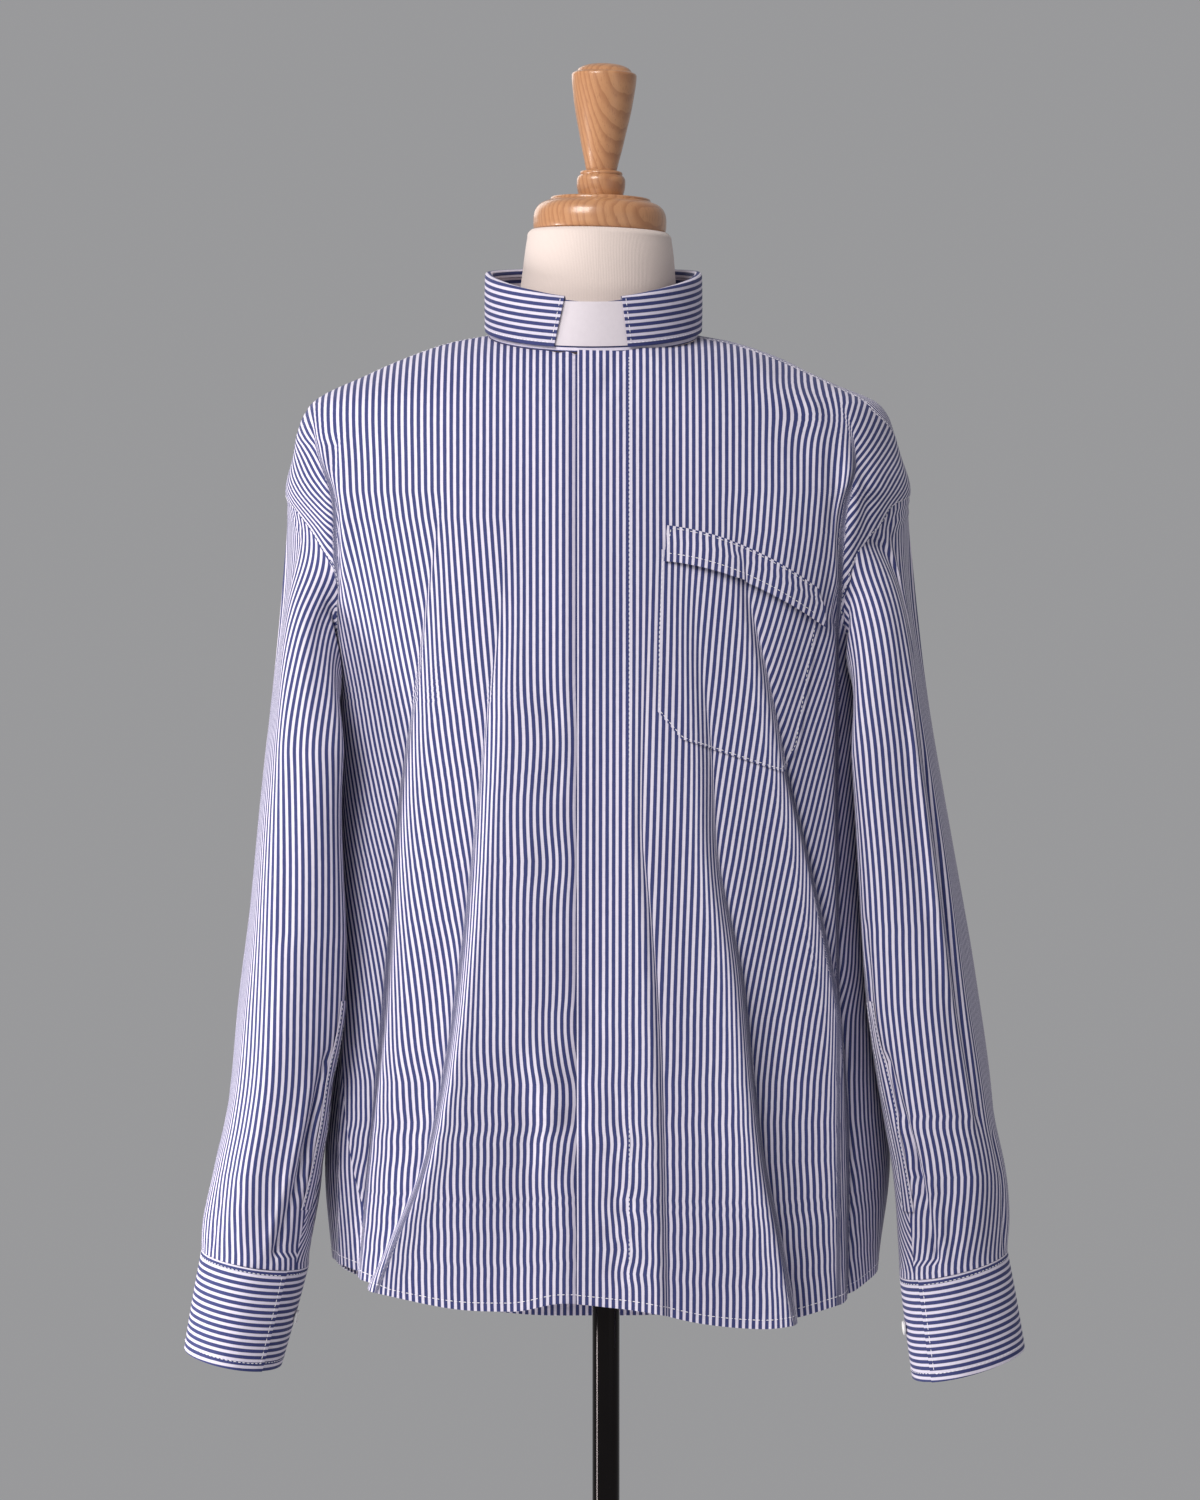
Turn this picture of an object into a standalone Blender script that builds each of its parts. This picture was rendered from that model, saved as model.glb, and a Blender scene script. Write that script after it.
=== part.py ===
"""A long-sleeved clergy shirt with a tab collar, worn by a limbless dress form on a pole and a round foot.

Every cloth piece is a thin wall lofted through rings: a ring is one level of the body or of a sleeve.
+X is the wearer's left, -Y the front, +Z up, and the origin is the middle of the foot's underside.
Sizes are in metres. An angle round the body is 0 at the front, +90 degrees at the wearer's left and
180 at the back.
"""

import math

import bmesh
import bpy
import mathutils
import numpy as np
from mathutils.bvhtree import BVHTree

# Cloth and seams
CLOTH = 0.0012  # wall of one layer of shirting
SEAM_GAP = 0.0003  # between pieces that are sewn together, or that lie on each other
LAYER = CLOTH + SEAM_GAP  # how far a piece that lies on another is moved out
SEAM_PULL = 0.0002  # how far each of two sewn edges is drawn back
PATCH_MERGE = 0.0001
AXIS_MERGE = 0.00001

# Heights
HEM_BLEND = 0.82  # above this level the rows are level, below it they follow the hem
ROWS_START = 0.70
ROWS_BELOW = 13  # rows from the hem to the underarm
UNDERARM = 1.170
ARMHOLE_TOP = 1.334
NECKLINE = 1.4535
YOKE_AT_ARMHOLE = 1.322
YOKE_AT_CENTRE_BACK = 1.376

# Front opening: the wearer's left front laps over the right one
FLY_EDGE = -0.0215
UNDERLAP_EDGE = 0.0120
FLY_LIFT = LAYER + 0.0003
FLY_LIFT_FADES = (0.022, 0.060)

# Shoulder seams: in front of the ridge at the wearer's left, behind it at the right
SHOULDER_SEAM = {"right": -92.0, "left": 79.0}

# The body, from its lowest ring to the neckline. Tilt lowers a ring's front and lifts its back.
BODY_COLUMNS = ("level", "centre", "half_width", "front", "back", "square", "tilt")
BODY_RINGS = (
    (0.6600, 0.000, 0.2060, 0.1270, 0.1300, 2.20, 0.000),
    (0.7400, 0.000, 0.2100, 0.1280, 0.1300, 2.20, 0.000),
    (0.8200, 0.001, 0.2170, 0.1280, 0.1290, 2.20, 0.000),
    (0.9000, 0.000, 0.2120, 0.1270, 0.1270, 2.20, 0.000),
    (1.0000, -0.002, 0.2050, 0.1260, 0.1240, 2.25, 0.000),
    (1.1000, -0.004, 0.2010, 0.1260, 0.1220, 2.30, 0.000),
    (1.1700, -0.005, 0.2000, 0.1270, 0.1220, 2.30, 0.000),
    (1.2200, -0.006, 0.2060, 0.1280, 0.1230, 2.30, 0.000),
    (1.2680, -0.006, 0.2190, 0.1270, 0.1240, 2.30, 0.000),
    (1.3040, -0.006, 0.2315, 0.1240, 0.1240, 2.28, 0.000),
    (1.3340, -0.006, 0.2403, 0.1195, 0.1220, 2.20, 0.000),
    (1.3620, -0.007, 0.2333, 0.1140, 0.1180, 2.10, 0.000),
    (1.3800, -0.008, 0.2290, 0.1095, 0.1140, 2.05, 0.010),
    (1.3940, -0.008, 0.2236, 0.1055, 0.1100, 2.00, 0.025),
    (1.4030, -0.009, 0.2162, 0.1025, 0.1070, 2.00, 0.040),
    (1.4160, -0.013, 0.1896, 0.0980, 0.1010, 1.98, 0.075),
    (1.4250, -0.013, 0.1685, 0.0945, 0.0965, 1.96, 0.105),
    (1.4340, -0.011, 0.1489, 0.0905, 0.0910, 1.96, 0.140),
    (1.4420, -0.010, 0.1290, 0.0865, 0.0855, 1.98, 0.175),
    (1.4490, -0.0096, 0.1060, 0.0815, 0.0790, 2.00, 0.205),
    (1.4535, -0.0096, 0.0805, 0.0770, 0.0740, 2.00, 0.226),
)
NORMAL_TURN = 0.4  # steps of angle and level that a normal is worked out over
NORMAL_RISE = 0.0012
TILT_BEHIND = 0.5  # the back of the neckline rises half as steeply as the front falls

# Hem: how high its edge is at each angle round the body
HEM_COLUMNS = ("angle", "level")
HEM = (
    (-180, 0.688), (-150, 0.690), (-125, 0.702), (-105, 0.728), (-88, 0.746),
    (-74, 0.742), (-60, 0.727), (-45, 0.716), (-30, 0.714), (-14, 0.7205), (0, 0.7180),
    (14, 0.7140), (30, 0.7050), (45, 0.7010), (56, 0.7080), (68, 0.7200), (84, 0.7360),
    (96, 0.7380), (112, 0.7180), (135, 0.6960), (160, 0.6890), (180, 0.6880),
)

# Side seams: the angle at each level. On the wearer's right the seam swings forward towards the hem.
SIDE_COLUMNS = ("level", "right", "left")
SIDE_SEAMS = (
    (0.66, -67.0, 84.0),
    (0.76, -68.0, 85.0),
    (0.90, -76.0, 88.0),
    (1.05, -86.0, 90.0),
    (UNDERARM, -90.0, 90.0),
)

# Armhole seams: angle at each level, front and back
ARMHOLE_COLUMNS = ("level", "right", "left")
ARMHOLE_FRONT = (
    (UNDERARM, -90.0, 90.0),
    (1.186, -84.0, 82.0),
    (1.212, -78.0, 74.5),
    (1.240, -75.0, 70.0),
    (1.268, -74.0, 69.0),
    (1.292, -76.0, 72.0),
    (1.310, -79.5, 75.6),
    (1.324, -84.5, 77.6),
    (ARMHOLE_TOP, -92.0, 79.0),
)
ARMHOLE_BACK = (
    (UNDERARM, -90.0, 90.0),
    (1.192, -99.0, 99.0),
    (1.222, -107.0, 107.0),
    (1.254, -111.0, 110.0),
    (1.284, -111.5, 108.5),
    (1.308, -108.8, 104.0),
    (YOKE_AT_ARMHOLE, -105.4, 97.5),
    (1.3270, -102.6, 93.6),
    (1.3303, -99.6, 89.0),
    (1.3326, -96.0, 84.0),
    (ARMHOLE_TOP, -92.0, 79.0),
)
YOKE_ROWS_ON_ARMHOLE = 4
ABOVE = (1.348, 1.364, 1.380, 1.394, 1.406, 1.418, 1.430, 1.440, 1.448, NECKLINE)  # rows over the shoulders

# Folds: each runs down the cloth as a soft step that faces away from the middle, and fades towards it.
FOLD_PATHS = {
    # name: (level, x) from its top to the hem
    "right_main": ((1.310, -0.070), (1.239, -0.0734), (1.172, -0.0824), (1.077, -0.0922), (0.972, -0.1041),
                   (0.888, -0.1169), (0.814, -0.1334), (0.766, -0.1528), (0.710, -0.1740)),
    "right_side": ((1.330, -0.118), (1.247, -0.1304), (1.182, -0.1386), (1.107, -0.1500), (1.000, -0.1590),
                   (0.888, -0.1690), (0.814, -0.1760), (0.730, -0.1830)),
    "left_fly": ((1.320, 0.036), (1.199, 0.0270), (1.083, 0.0232), (1.010, 0.0300), (0.924, 0.0367),
                 (0.874, 0.0390), (0.774, 0.0420), (0.700, 0.0435)),
    "left_main": ((1.300, 0.056), (1.217, 0.0629), (1.128, 0.0742), (1.058, 0.0779), (0.962, 0.0974),
                  (0.888, 0.1056), (0.814, 0.1154), (0.782, 0.1221), (0.700, 0.1370)),
    "left_side": ((1.330, 0.088), (1.255, 0.1019), (1.195, 0.1161), (1.123, 0.1311), (1.060, 0.1476),
                  (1.000, 0.1540), (0.900, 0.1600), (0.700, 0.1680)),
    "back_right": ((1.330, -0.066), (1.150, -0.078), (0.950, -0.094), (0.670, -0.122)),
    "back_right_side": ((1.300, -0.126), (1.150, -0.138), (0.950, -0.152), (0.670, -0.168)),
    "back_left": ((1.340, 0.052), (1.150, 0.058), (0.950, 0.070), (0.670, 0.092)),
    "back_left_side": ((1.310, 0.112), (1.150, 0.126), (0.950, 0.144), (0.670, 0.162)),
}
FOLD_COLUMNS = ("name", "face", "starts", "full", "depth", "step", "fade")
FOLDS = (
    ("right_main", "front", 1.300, 0.78, 0.0240, 0.036, 0.070),
    ("right_side", "front", 1.300, 0.80, 0.0120, 0.020, 0.034),
    ("left_fly", "front", 1.260, 0.80, 0.0060, 0.014, 0.026),
    ("left_main", "front", 1.290, 0.78, 0.0250, 0.022, 0.055),
    ("left_side", "front", 1.310, 1.10, 0.0100, 0.022, 0.032),
    ("back_right", "back", 1.320, 0.75, 0.0200, 0.034, 0.060),
    ("back_right_side", "back", 1.290, 0.80, 0.0120, 0.024, 0.034),
    ("back_left", "back", 1.330, 0.75, 0.0180, 0.030, 0.055),
    ("back_left_side", "back", 1.300, 0.80, 0.0140, 0.026, 0.036),
)
FOLD_COLUMN_REACH = 1.0  # a panel's columns stand this share of a step each side of it
FOLDS_FACE = (0.02, 0.30)  # folds grow between these cosines of the angle from the front, or the back
FRONT_EVEN = (1.22, ARMHOLE_TOP)  # over this stretch the columns leave the folds and become even
BACK_EVEN = (1.20, YOKE_AT_ARMHOLE)
# The folds each panel's columns run beside, and how many columns lie between their edges
FRONT_FOLDS = {
    "right": (("right_main", "right_side"), (4, 2, 2, 2, 2)),
    "left": (("left_fly", "left_main", "left_side"), (3, 1, 2, 2, 2, 2, 1)),
}
BACK_FOLDS = (("back_left_side", "back_left", "back_right", "back_right_side"), (2, 1, 3, 1, 6, 1, 3, 1, 2))
ARC_SAMPLES = 200
COLUMN_SHARE = 0.025  # columns are at least this share of a row apart

# Sleeves: front-view reach at each level below the armhole, depth from front to back, and how far the
# front end of the section turns in, in degrees
SLEEVE_COLUMNS = ("level", "outer", "inner", "middle_y", "half_depth", "lean")
SLEEVES = {
    "right": (
        (1.129, -0.2620, -0.2080, -0.021, 0.085, 8.0),
        (1.085, -0.2665, -0.2060, -0.024, 0.080, 9.0),
        (1.041, -0.2707, -0.2033, -0.027, 0.076, 11.0),
        (0.998, -0.2751, -0.2000, -0.030, 0.073, 14.0),
        (0.945, -0.2810, -0.1995, -0.034, 0.068, 16.0),
        (0.884, -0.2871, -0.2075, -0.036, 0.062, 16.0),
        (0.852, -0.2917, -0.2100, -0.036, 0.060, 14.0),
        (0.817, -0.2985, -0.2155, -0.035, 0.057, 12.0),
        (0.785, -0.3020, -0.2190, -0.034, 0.052, 8.0),
    ),
    "left": (
        (1.129, 0.2551, 0.1895, -0.026, 0.082, 14.0),
        (1.085, 0.2627, 0.1905, -0.031, 0.077, 16.0),
        (1.041, 0.2703, 0.1919, -0.035, 0.073, 19.0),
        (0.998, 0.2772, 0.1938, -0.039, 0.070, 22.0),
        (0.945, 0.2848, 0.1972, -0.042, 0.067, 23.0),
        (0.884, 0.2939, 0.2064, -0.044, 0.062, 20.0),
        (0.852, 0.2978, 0.2125, -0.044, 0.060, 16.0),
        (0.817, 0.3038, 0.2189, -0.043, 0.057, 12.0),
        (0.785, 0.3060, 0.2220, -0.042, 0.052, 8.0),
    ),
}
SLEEVE_HEAD_ROWS = 6  # rings between the armhole and the first level of the table
SLEEVE_TURN = math.radians(130)  # how far the sleeve turns away from the body's face at the underarm
SLEEVE_CLEAR = 0.0040  # the sleeve hangs this far off the body
SLEEVE_CLEAR_BY = 0.2  # and is that clear after this share of its head
SLEEVE_FOLD_COLUMNS = ("at_head", "at_cuff", "depth", "half_width")
SLEEVE_FOLDS = {  # angles round the sleeve from its outer side, and the depth of each soft trough
    "right": ((62.0, 40.0, 0.0030, 26.0), (150.0, 128.0, 0.0050, 24.0), (262.0, 250.0, 0.0060, 26.0)),
    "left": ((74.0, 70.0, 0.0055, 22.0), (28.0, 24.0, 0.0030, 20.0), (256.0, 250.0, 0.0060, 26.0)),
}
PLACKET_SPAN = (13, 15)  # columns of the sleeve under the placket, in line with the cuff's opening
PLACKET_ROWS = 5

# Cuffs: x, y and z of the middle at the top and the bottom edge, half sizes there, and the slope that lifts
# the outer side
CUFF_COLUMNS = ("x", "y", "z", "half_x", "half_y", "slope")
CUFFS = {
    "right": (
        (-0.2680, -0.033, 0.7480, 0.0410, 0.0415, 0.15),
        (-0.2850, -0.032, 0.6720, 0.0373, 0.0430, 0.17),
    ),
    "left": (
        (0.2650, -0.041, 0.7440, 0.0412, 0.0415, 0.24),
        (0.2765, -0.042, 0.6680, 0.0430, 0.0415, 0.27),
    ),
}
CUFF_FRONT_DROP = 0.14  # the cuff's front hangs lower than its back by this slope
CUFF_END = {"right": 128.0, "left": 132.0}  # where the cuff's upper end lies, round from the outer side
CUFF_LAP = 14.0  # how far its two ends pass each other, in degrees
CUFF_COLUMNS_ROUND = 37
CUFF_RISES = (290.0, 350.0)  # where the cuff rises to pass over its under end, in degrees from that end
BUTTON_FROM_END = 42.0  # from the upper end round to the button, on the under end
BUTTON_RADIUS = 0.0055
BUTTON_THICK = 0.0024
BUTTON_SEGMENTS = 20

# Collar, neckband and tab: heights above the neckline at the front, at the sides and at the back
AROUND = (0.0, 90.0, 180.0)
FALL_BOTTOM = (0.0030, 0.0045, 0.0040)
FALL_TOP = (0.0405, 0.0495, 0.0490)
FALL_THICK = 0.0016
FALL_OFF_BAND = 0.0014
FALL_SOFT = 0.6  # how round the collar's top is, as a share of its thickness
FALL_TURN_IN = 0.0060  # how far the collar comes down inside the band
FALL_EDGES = (-18.0, 18.7)  # angles where the collar stops, each side of the tab
TAB_EDGES = (-30.0, 30.0)
TAB_THICK = 0.0008
TAB_REACH = (0.0046, 0.0385)
COLLAR_STEP = 10.0

# Pocket and flap: outlines (x, z) in the front view, on the wearer's left front
POCKET = ((0.0412, 1.2854), (0.0382, 1.2200), (0.0380, 1.1645), (0.0562, 1.1432), (0.1326, 1.1185),
          (0.1446, 1.1387), (0.1608, 1.2380), (0.1300, 1.2575), (0.1010, 1.2712), (0.0750, 1.2797))
FLAP = ((0.0457, 1.3020), (0.0427, 1.2758), (0.1618, 1.2286), (0.1603, 1.2563))
FLAP_ARCH = (0.1010, 0.0600, 0.0095)  # middle, half-length and rise of the flap's arched edges
FLAP_DROPS = (0.014, 0.024)  # the flap comes down to the front between these heights above its edge

# Dress form
FORM_RINGS = (
    (0.8000, 0.000, 0.1580, 0.1020, 0.1040, 2.10, 0.0),
    (0.8060, 0.000, 0.1660, 0.1090, 0.1110, 2.10, 0.0),
    (0.8250, 0.000, 0.1690, 0.1110, 0.1130, 2.10, 0.0),
    (0.8700, 0.000, 0.1680, 0.1090, 0.1120, 2.10, 0.0),
    (0.9300, 0.000, 0.1600, 0.1050, 0.1040, 2.10, 0.0),
    (1.0200, 0.000, 0.1500, 0.1050, 0.0980, 2.15, 0.0),
    (1.1200, -0.003, 0.1570, 0.1130, 0.1060, 2.20, 0.0),
    (1.2100, -0.006, 0.1700, 0.1200, 0.1150, 2.25, 0.0),
    (1.2800, -0.007, 0.1880, 0.1220, 0.1190, 2.25, 0.0),
    (1.3340, -0.008, 0.2080, 0.1160, 0.1180, 2.15, 0.0),
    (1.3600, -0.008, 0.2170, 0.1110, 0.1140, 2.08, 0.0),
    (1.3800, -0.008, 0.2215, 0.1065, 0.1105, 2.05, 0.010),
)
FORM_UNDER_CLOTH = 0.0030  # how far the form's shoulders lie under the cloth's outer face
FORM_COLUMNS_ROUND = 32
NECK_RINGS = (
    (1.4570, -0.0080, 0.0690, 0.0650, 0.0640, 2.0, 0.150),
    (1.4650, -0.0070, 0.0635, 0.0600, 0.0600, 2.0, 0.080),
    (1.4900, -0.0060, 0.0600, 0.0580, 0.0580, 2.0, 0.0),
    (1.5270, -0.0050, 0.0556, 0.0545, 0.0545, 2.0, 0.0),
    (1.5312, -0.0050, 0.0548, 0.0537, 0.0537, 2.0, 0.0),
    (1.5335, -0.0049, 0.0525, 0.0515, 0.0515, 2.0, 0.0),
)
CAP_LEAN = math.radians(1.7)  # the neck's top, its cap and the finial lean a little to the wearer's left
NECK_TOP = (-0.0049, 0.0, 1.5335)

# Turned wood, as (radius, height above the neck's top), from the top down
CAP_PROFILE = (
    (0.0000, 0.0262), (0.0370, 0.0262), (0.0382, 0.0250), (0.0384, 0.0236), (0.0400, 0.0226),
    (0.0450, 0.0206), (0.0492, 0.0164), (0.0510, 0.0110), (0.0512, 0.0062), (0.0506, 0.0006),
    (0.0496, 0.0003), (0.0000, 0.0003),
)
FINIAL_FOOT = 0.0265
FINIAL_PROFILE = (
    (0.0000, 0.1030), (0.0080, 0.1027), (0.0150, 0.1012), (0.0200, 0.0986), (0.0212, 0.0972),
    (0.0218, 0.0958), (0.0246, 0.0950), (0.0250, 0.0938), (0.0249, 0.0905), (0.0236, 0.0800),
    (0.0180, 0.0500), (0.0136, 0.0290), (0.0121, 0.0215), (0.0118, 0.0203), (0.0163, 0.0192),
    (0.0165, 0.0168), (0.0172, 0.0160), (0.0186, 0.0140), (0.0187, 0.0095), (0.0178, 0.0040),
    (0.0162, 0.0000), (0.0000, 0.0000),
)

# Stand
POLE_RADIUS = 0.0105
POLE_FOOT = 0.0203
FOOT_PROFILE = (
    (0.0000, 0.0200), (0.0180, 0.0200), (0.0240, 0.0185), (0.0290, 0.0130), (0.0400, 0.0105),
    (0.1400, 0.0085), (0.1640, 0.0070), (0.1700, 0.0035), (0.1690, 0.0000), (0.0000, 0.0000),
)
CAP_STEPS = 28
FINIAL_STEPS = 20
FOOT_STEPS = 30
POLE_SEGMENTS = 24
SHADE_SPLIT = math.radians(60)

# Colours as (red, green, blue, roughness, metallic)
FINISHES = {
    "shirting": (0.50, 0.52, 0.68, 0.75, 0.0),
    "tab_white": (0.86, 0.85, 0.90, 0.35, 0.0),
    "button_white": (0.85, 0.85, 0.84, 0.25, 0.0),
    "form_jersey": (0.86, 0.80, 0.74, 0.90, 0.0),
    "turned_wood": (0.62, 0.34, 0.18, 0.30, 0.0),
    "polished_steel": (0.75, 0.75, 0.77, 0.12, 1.0),
}


# ---------------------------------------------------------------- numbers

def read(columns, rows):
    """The table's columns by name, as arrays."""
    return {name: np.array([row[i] for row in rows], float) for i, name in enumerate(columns)}


def follow(at, xs, ys):
    """A smooth curve through a table's points, with no overshoot between them."""
    xs, ys = np.asarray(xs, float), np.asarray(ys, float)
    order = np.argsort(xs)
    xs, ys = xs[order], ys[order]
    at = np.clip(np.asarray(at, float), xs[0], xs[-1])
    run = np.diff(xs)
    slope = np.diff(ys) / run
    tangent = np.empty_like(ys)
    tangent[1:-1] = (slope[:-1] * run[1:] + slope[1:] * run[:-1]) / (run[:-1] + run[1:])
    tangent[0], tangent[-1] = slope[0], slope[-1]
    flat = slope[:-1] * slope[1:] <= 0
    tangent[1:-1][flat] = 0.0
    k = np.clip(np.searchsorted(xs, at, side="right") - 1, 0, len(run) - 1)
    t = (at - xs[k]) / run[k]
    return (
        ys[k] * (1 + 2 * t) * (1 - t) ** 2
        + tangent[k] * run[k] * t * (1 - t) ** 2
        + ys[k + 1] * t * t * (3 - 2 * t)
        + tangent[k + 1] * run[k] * t * t * (t - 1)
    )


def ease(low, high, at):
    """0 below low, 1 above high, and smooth between them."""
    t = np.clip((np.asarray(at, float) - low) / (high - low), 0, 1)
    return t * t * (3 - 2 * t)


def unit(vectors):
    return vectors / np.maximum(np.linalg.norm(vectors, axis=-1, keepdims=True), 1e-12)


BODY = read(BODY_COLUMNS, BODY_RINGS)
HEM_TABLE = read(HEM_COLUMNS, HEM)
SIDES = read(SIDE_COLUMNS, SIDE_SEAMS)


# ---------------------------------------------------------------- the body's surface

def ring_sizes(level, rings):
    return [follow(level, rings["level"], rings[name]) for name in BODY_COLUMNS[1:]]


def fold_lift(x, level, toward_front):
    """How far the folds raise the cloth at a place of the front view, or of the back view."""
    lift = np.zeros(np.broadcast(x, level).shape)
    for name, face, starts, full, depth, step, fade in FOLDS:
        path = np.array(FOLD_PATHS[name])
        line = follow(level, path[:, 0], path[:, 1])
        inward = (np.asarray(x) - line) * -np.sign(path[0, 1])
        grown = ease(starts, full, level)
        shape = ease(-step / 2, step / 2, inward) * np.exp(-np.maximum(inward - step / 2, 0) / fade)
        on_face = ease(*FOLDS_FACE, toward_front if face == "front" else -toward_front)
        lift = lift + depth * grown * shape * on_face
    return lift


def ring_point(angle, level, rings, lift=None):
    """A place on the ring at this level, at an angle in degrees, raised by lift(x, toward_front)."""
    angle, level = np.broadcast_arrays(np.radians(angle), np.asarray(level, float))
    centre, wide, front, back, square, tilt = ring_sizes(level, rings)
    across, toward_front = np.sin(angle), np.cos(angle)
    deep = np.where(toward_front > 0, front, back)
    reach = ((np.abs(across) / wide) ** square + (np.abs(toward_front) / deep) ** square) ** (-1 / square)
    x, y = reach * across, -reach * toward_front
    if lift:
        out_x = np.sign(x) * (np.abs(x) / wide) ** (square - 1) / wide
        out_y = np.sign(y) * (np.abs(y) / deep) ** (square - 1) / deep
        raised = lift(centre + x, toward_front) / np.hypot(out_x, out_y)
        x, y = x + raised * out_x, y + raised * out_y
    z = level + tilt * y * np.where(y > 0, TILT_BEHIND, 1.0)
    return np.stack([centre + x, y, z], axis=-1)


def body_point(angle, level):
    """The outer face of the shirt's body, with its folds."""
    return ring_point(angle, level, BODY, lambda x, front: fold_lift(x, level, front))


def body_normal(angle, level):
    """The outward normal of that face."""
    level = np.minimum(level, NECKLINE - NORMAL_RISE)
    round_it = body_point(angle + NORMAL_TURN, level) - body_point(angle - NORMAL_TURN, level)
    up_it = body_point(angle, level + NORMAL_RISE) - body_point(angle, level - NORMAL_RISE)
    return unit(np.cross(round_it, up_it))


def angle_at(x, level, back=False):
    """The angle of the front's, or the back's, point with this x."""
    centre, wide, front, rear, square, _ = ring_sizes(level, BODY)
    share = np.clip(np.abs(x - centre) / wide, 0, 0.999)
    deep = (rear if back else front) * (1 - share**square) ** (1 / square)
    angle = np.degrees(np.arctan2(x - centre, deep))
    return 180.0 * np.sign(angle) - angle if back else angle


def hem_level(angle):
    return follow((np.asarray(angle) + 180) % 360 - 180, HEM_TABLE["angle"], HEM_TABLE["level"])


# ---------------------------------------------------------------- walls of cloth

def collection(name):
    found = bpy.data.collections.get(name)
    if found is None:
        found = bpy.data.collections.new(name)
        bpy.context.scene.collection.children.link(found)
    return found


def material(name, finish):
    made = bpy.data.materials.new(name)
    made.use_nodes = True
    red, green, blue, roughness, metallic = FINISHES[finish]
    shader = made.node_tree.nodes["Principled BSDF"]
    shader.inputs["Base Color"].default_value = (red, green, blue, 1.0)
    shader.inputs["Roughness"].default_value = roughness
    shader.inputs["Metallic"].default_value = metallic
    made.diffuse_color = (red, green, blue, 1.0)
    return made


def finish_object(name, bm, finish):
    bmesh.ops.recalc_face_normals(bm, faces=bm.faces)
    mesh = bpy.data.meshes.new(name)
    bm.to_mesh(mesh)
    bm.free()
    mesh.shade_smooth()
    mesh.set_sharp_from_angle(angle=SHADE_SPLIT)
    mesh.materials.append(material(name, finish))
    made = bpy.data.objects.new(name, mesh)
    collection("clergy_shirt_on_form").objects.link(made)
    return made


def pulled_apart(grid, edges):
    """The grid with these edges drawn into the piece, to leave half of a seam's gap."""
    grid = grid.copy()
    for edge in edges:
        at, inside = {"first": (0, 1), "last": (-1, -2)}[edge.split()[0]]
        if edge.endswith("row"):
            grid[at] += unit(grid[inside] - grid[at]) * SEAM_PULL
        else:
            grid[:, at] += unit(grid[:, inside] - grid[:, at]) * SEAM_PULL
    return grid


def rod(bm, radius, length, segments, matrix):
    bmesh.ops.create_cone(bm, cap_ends=True, segments=segments, radius1=radius, radius2=radius,
                          depth=length, matrix=matrix)


def wall(name, outer, inner, finish, closed=False):
    """A closed wall between two grids of points, rows by columns. A closed one goes all round."""
    rows, cols = outer.shape[:2]
    last = cols if closed else cols - 1
    bm = bmesh.new()
    out = [[bm.verts.new(p) for p in row] for row in outer]
    back = [[bm.verts.new(p) for p in row] for row in inner]
    for c in range(last):
        d = (c + 1) % cols
        for r in range(rows - 1):
            for face in (out, back):
                bm.faces.new([face[r][c], face[r][d], face[r + 1][d]])
                bm.faces.new([face[r][c], face[r + 1][d], face[r + 1][c]])
        bm.faces.new([out[0][d], out[0][c], back[0][c], back[0][d]])
        bm.faces.new([out[-1][c], out[-1][d], back[-1][d], back[-1][c]])
    if not closed:
        for r in range(rows - 1):
            bm.faces.new([out[r][0], out[r + 1][0], back[r + 1][0], back[r][0]])
            bm.faces.new([out[r + 1][-1], out[r][-1], back[r][-1], back[r + 1][-1]])
    return finish_object(name, bm, finish)


def patch(name, grid, outline, finish, lift_at, warp=None, extra_lines=()):
    """A piece that lies on a panel: the panel's faces, cut to a front-view outline and moved out."""
    rows, cols = grid.shape[:2]
    bm = bmesh.new()
    verts = [[bm.verts.new(p) for p in row] for row in grid]
    for r in range(rows - 1):
        for c in range(cols - 1):
            bm.faces.new([verts[r][c], verts[r][c + 1], verts[r + 1][c + 1]])
            bm.faces.new([verts[r][c], verts[r + 1][c + 1], verts[r + 1][c]])
    surface = BVHTree.FromBMesh(bm)
    if warp:
        for vert in bm.verts:
            vert.co.z -= warp(vert.co.x)
    cuts = [(a, b, True) for a, b in zip(outline, outline[1:] + outline[:1])]
    cuts += [(a, b, False) for a, b in extra_lines]
    for (ax, az), (bx, bz), clear in cuts:
        bmesh.ops.bisect_plane(
            bm,
            geom=bm.verts[:] + bm.edges[:] + bm.faces[:],
            plane_co=(ax, 0, az),
            plane_no=(bz - az, 0, ax - bx),
            clear_outer=clear,
        )
    if warp:
        for vert in bm.verts:
            vert.co.z += warp(vert.co.x)
            vert.co = surface.find_nearest(vert.co)[0]
    bmesh.ops.remove_doubles(bm, verts=bm.verts, dist=PATCH_MERGE)
    bmesh.ops.recalc_face_normals(bm, faces=bm.faces)
    if sum(face.normal.y for face in bm.faces) > 0:
        bmesh.ops.reverse_faces(bm, faces=bm.faces)
    bm.normal_update()
    faces, rims = bm.faces[:], [edge for edge in bm.edges if edge.is_boundary]
    out, back = {}, {}
    for vert in bm.verts[:]:
        lift = lift_at(vert.co)
        out[vert] = vert.co + vert.normal * (lift + CLOTH)
        back[vert] = vert.co + vert.normal * lift
    made = bmesh.new()
    out = {vert: made.verts.new(place) for vert, place in out.items()}
    back = {vert: made.verts.new(place) for vert, place in back.items()}
    for face in faces:
        made.faces.new([out[v] for v in face.verts])
        made.faces.new([back[v] for v in reversed(face.verts)])
    for edge in rims:
        a, b = edge.verts
        made.faces.new([out[a], out[b], back[b], back[a]])
    bm.free()
    return finish_object(name, made, finish)


# ---------------------------------------------------------------- the body's panels

def spread(stops, counts):
    """Positions along a row: the given stops, with more put between them."""
    full = [stops[0]]
    for a, b, count in zip(stops, stops[1:], counts):
        full += [a + (b - a) * (i + 1) / count for i in range(count)]
    return full


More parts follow.
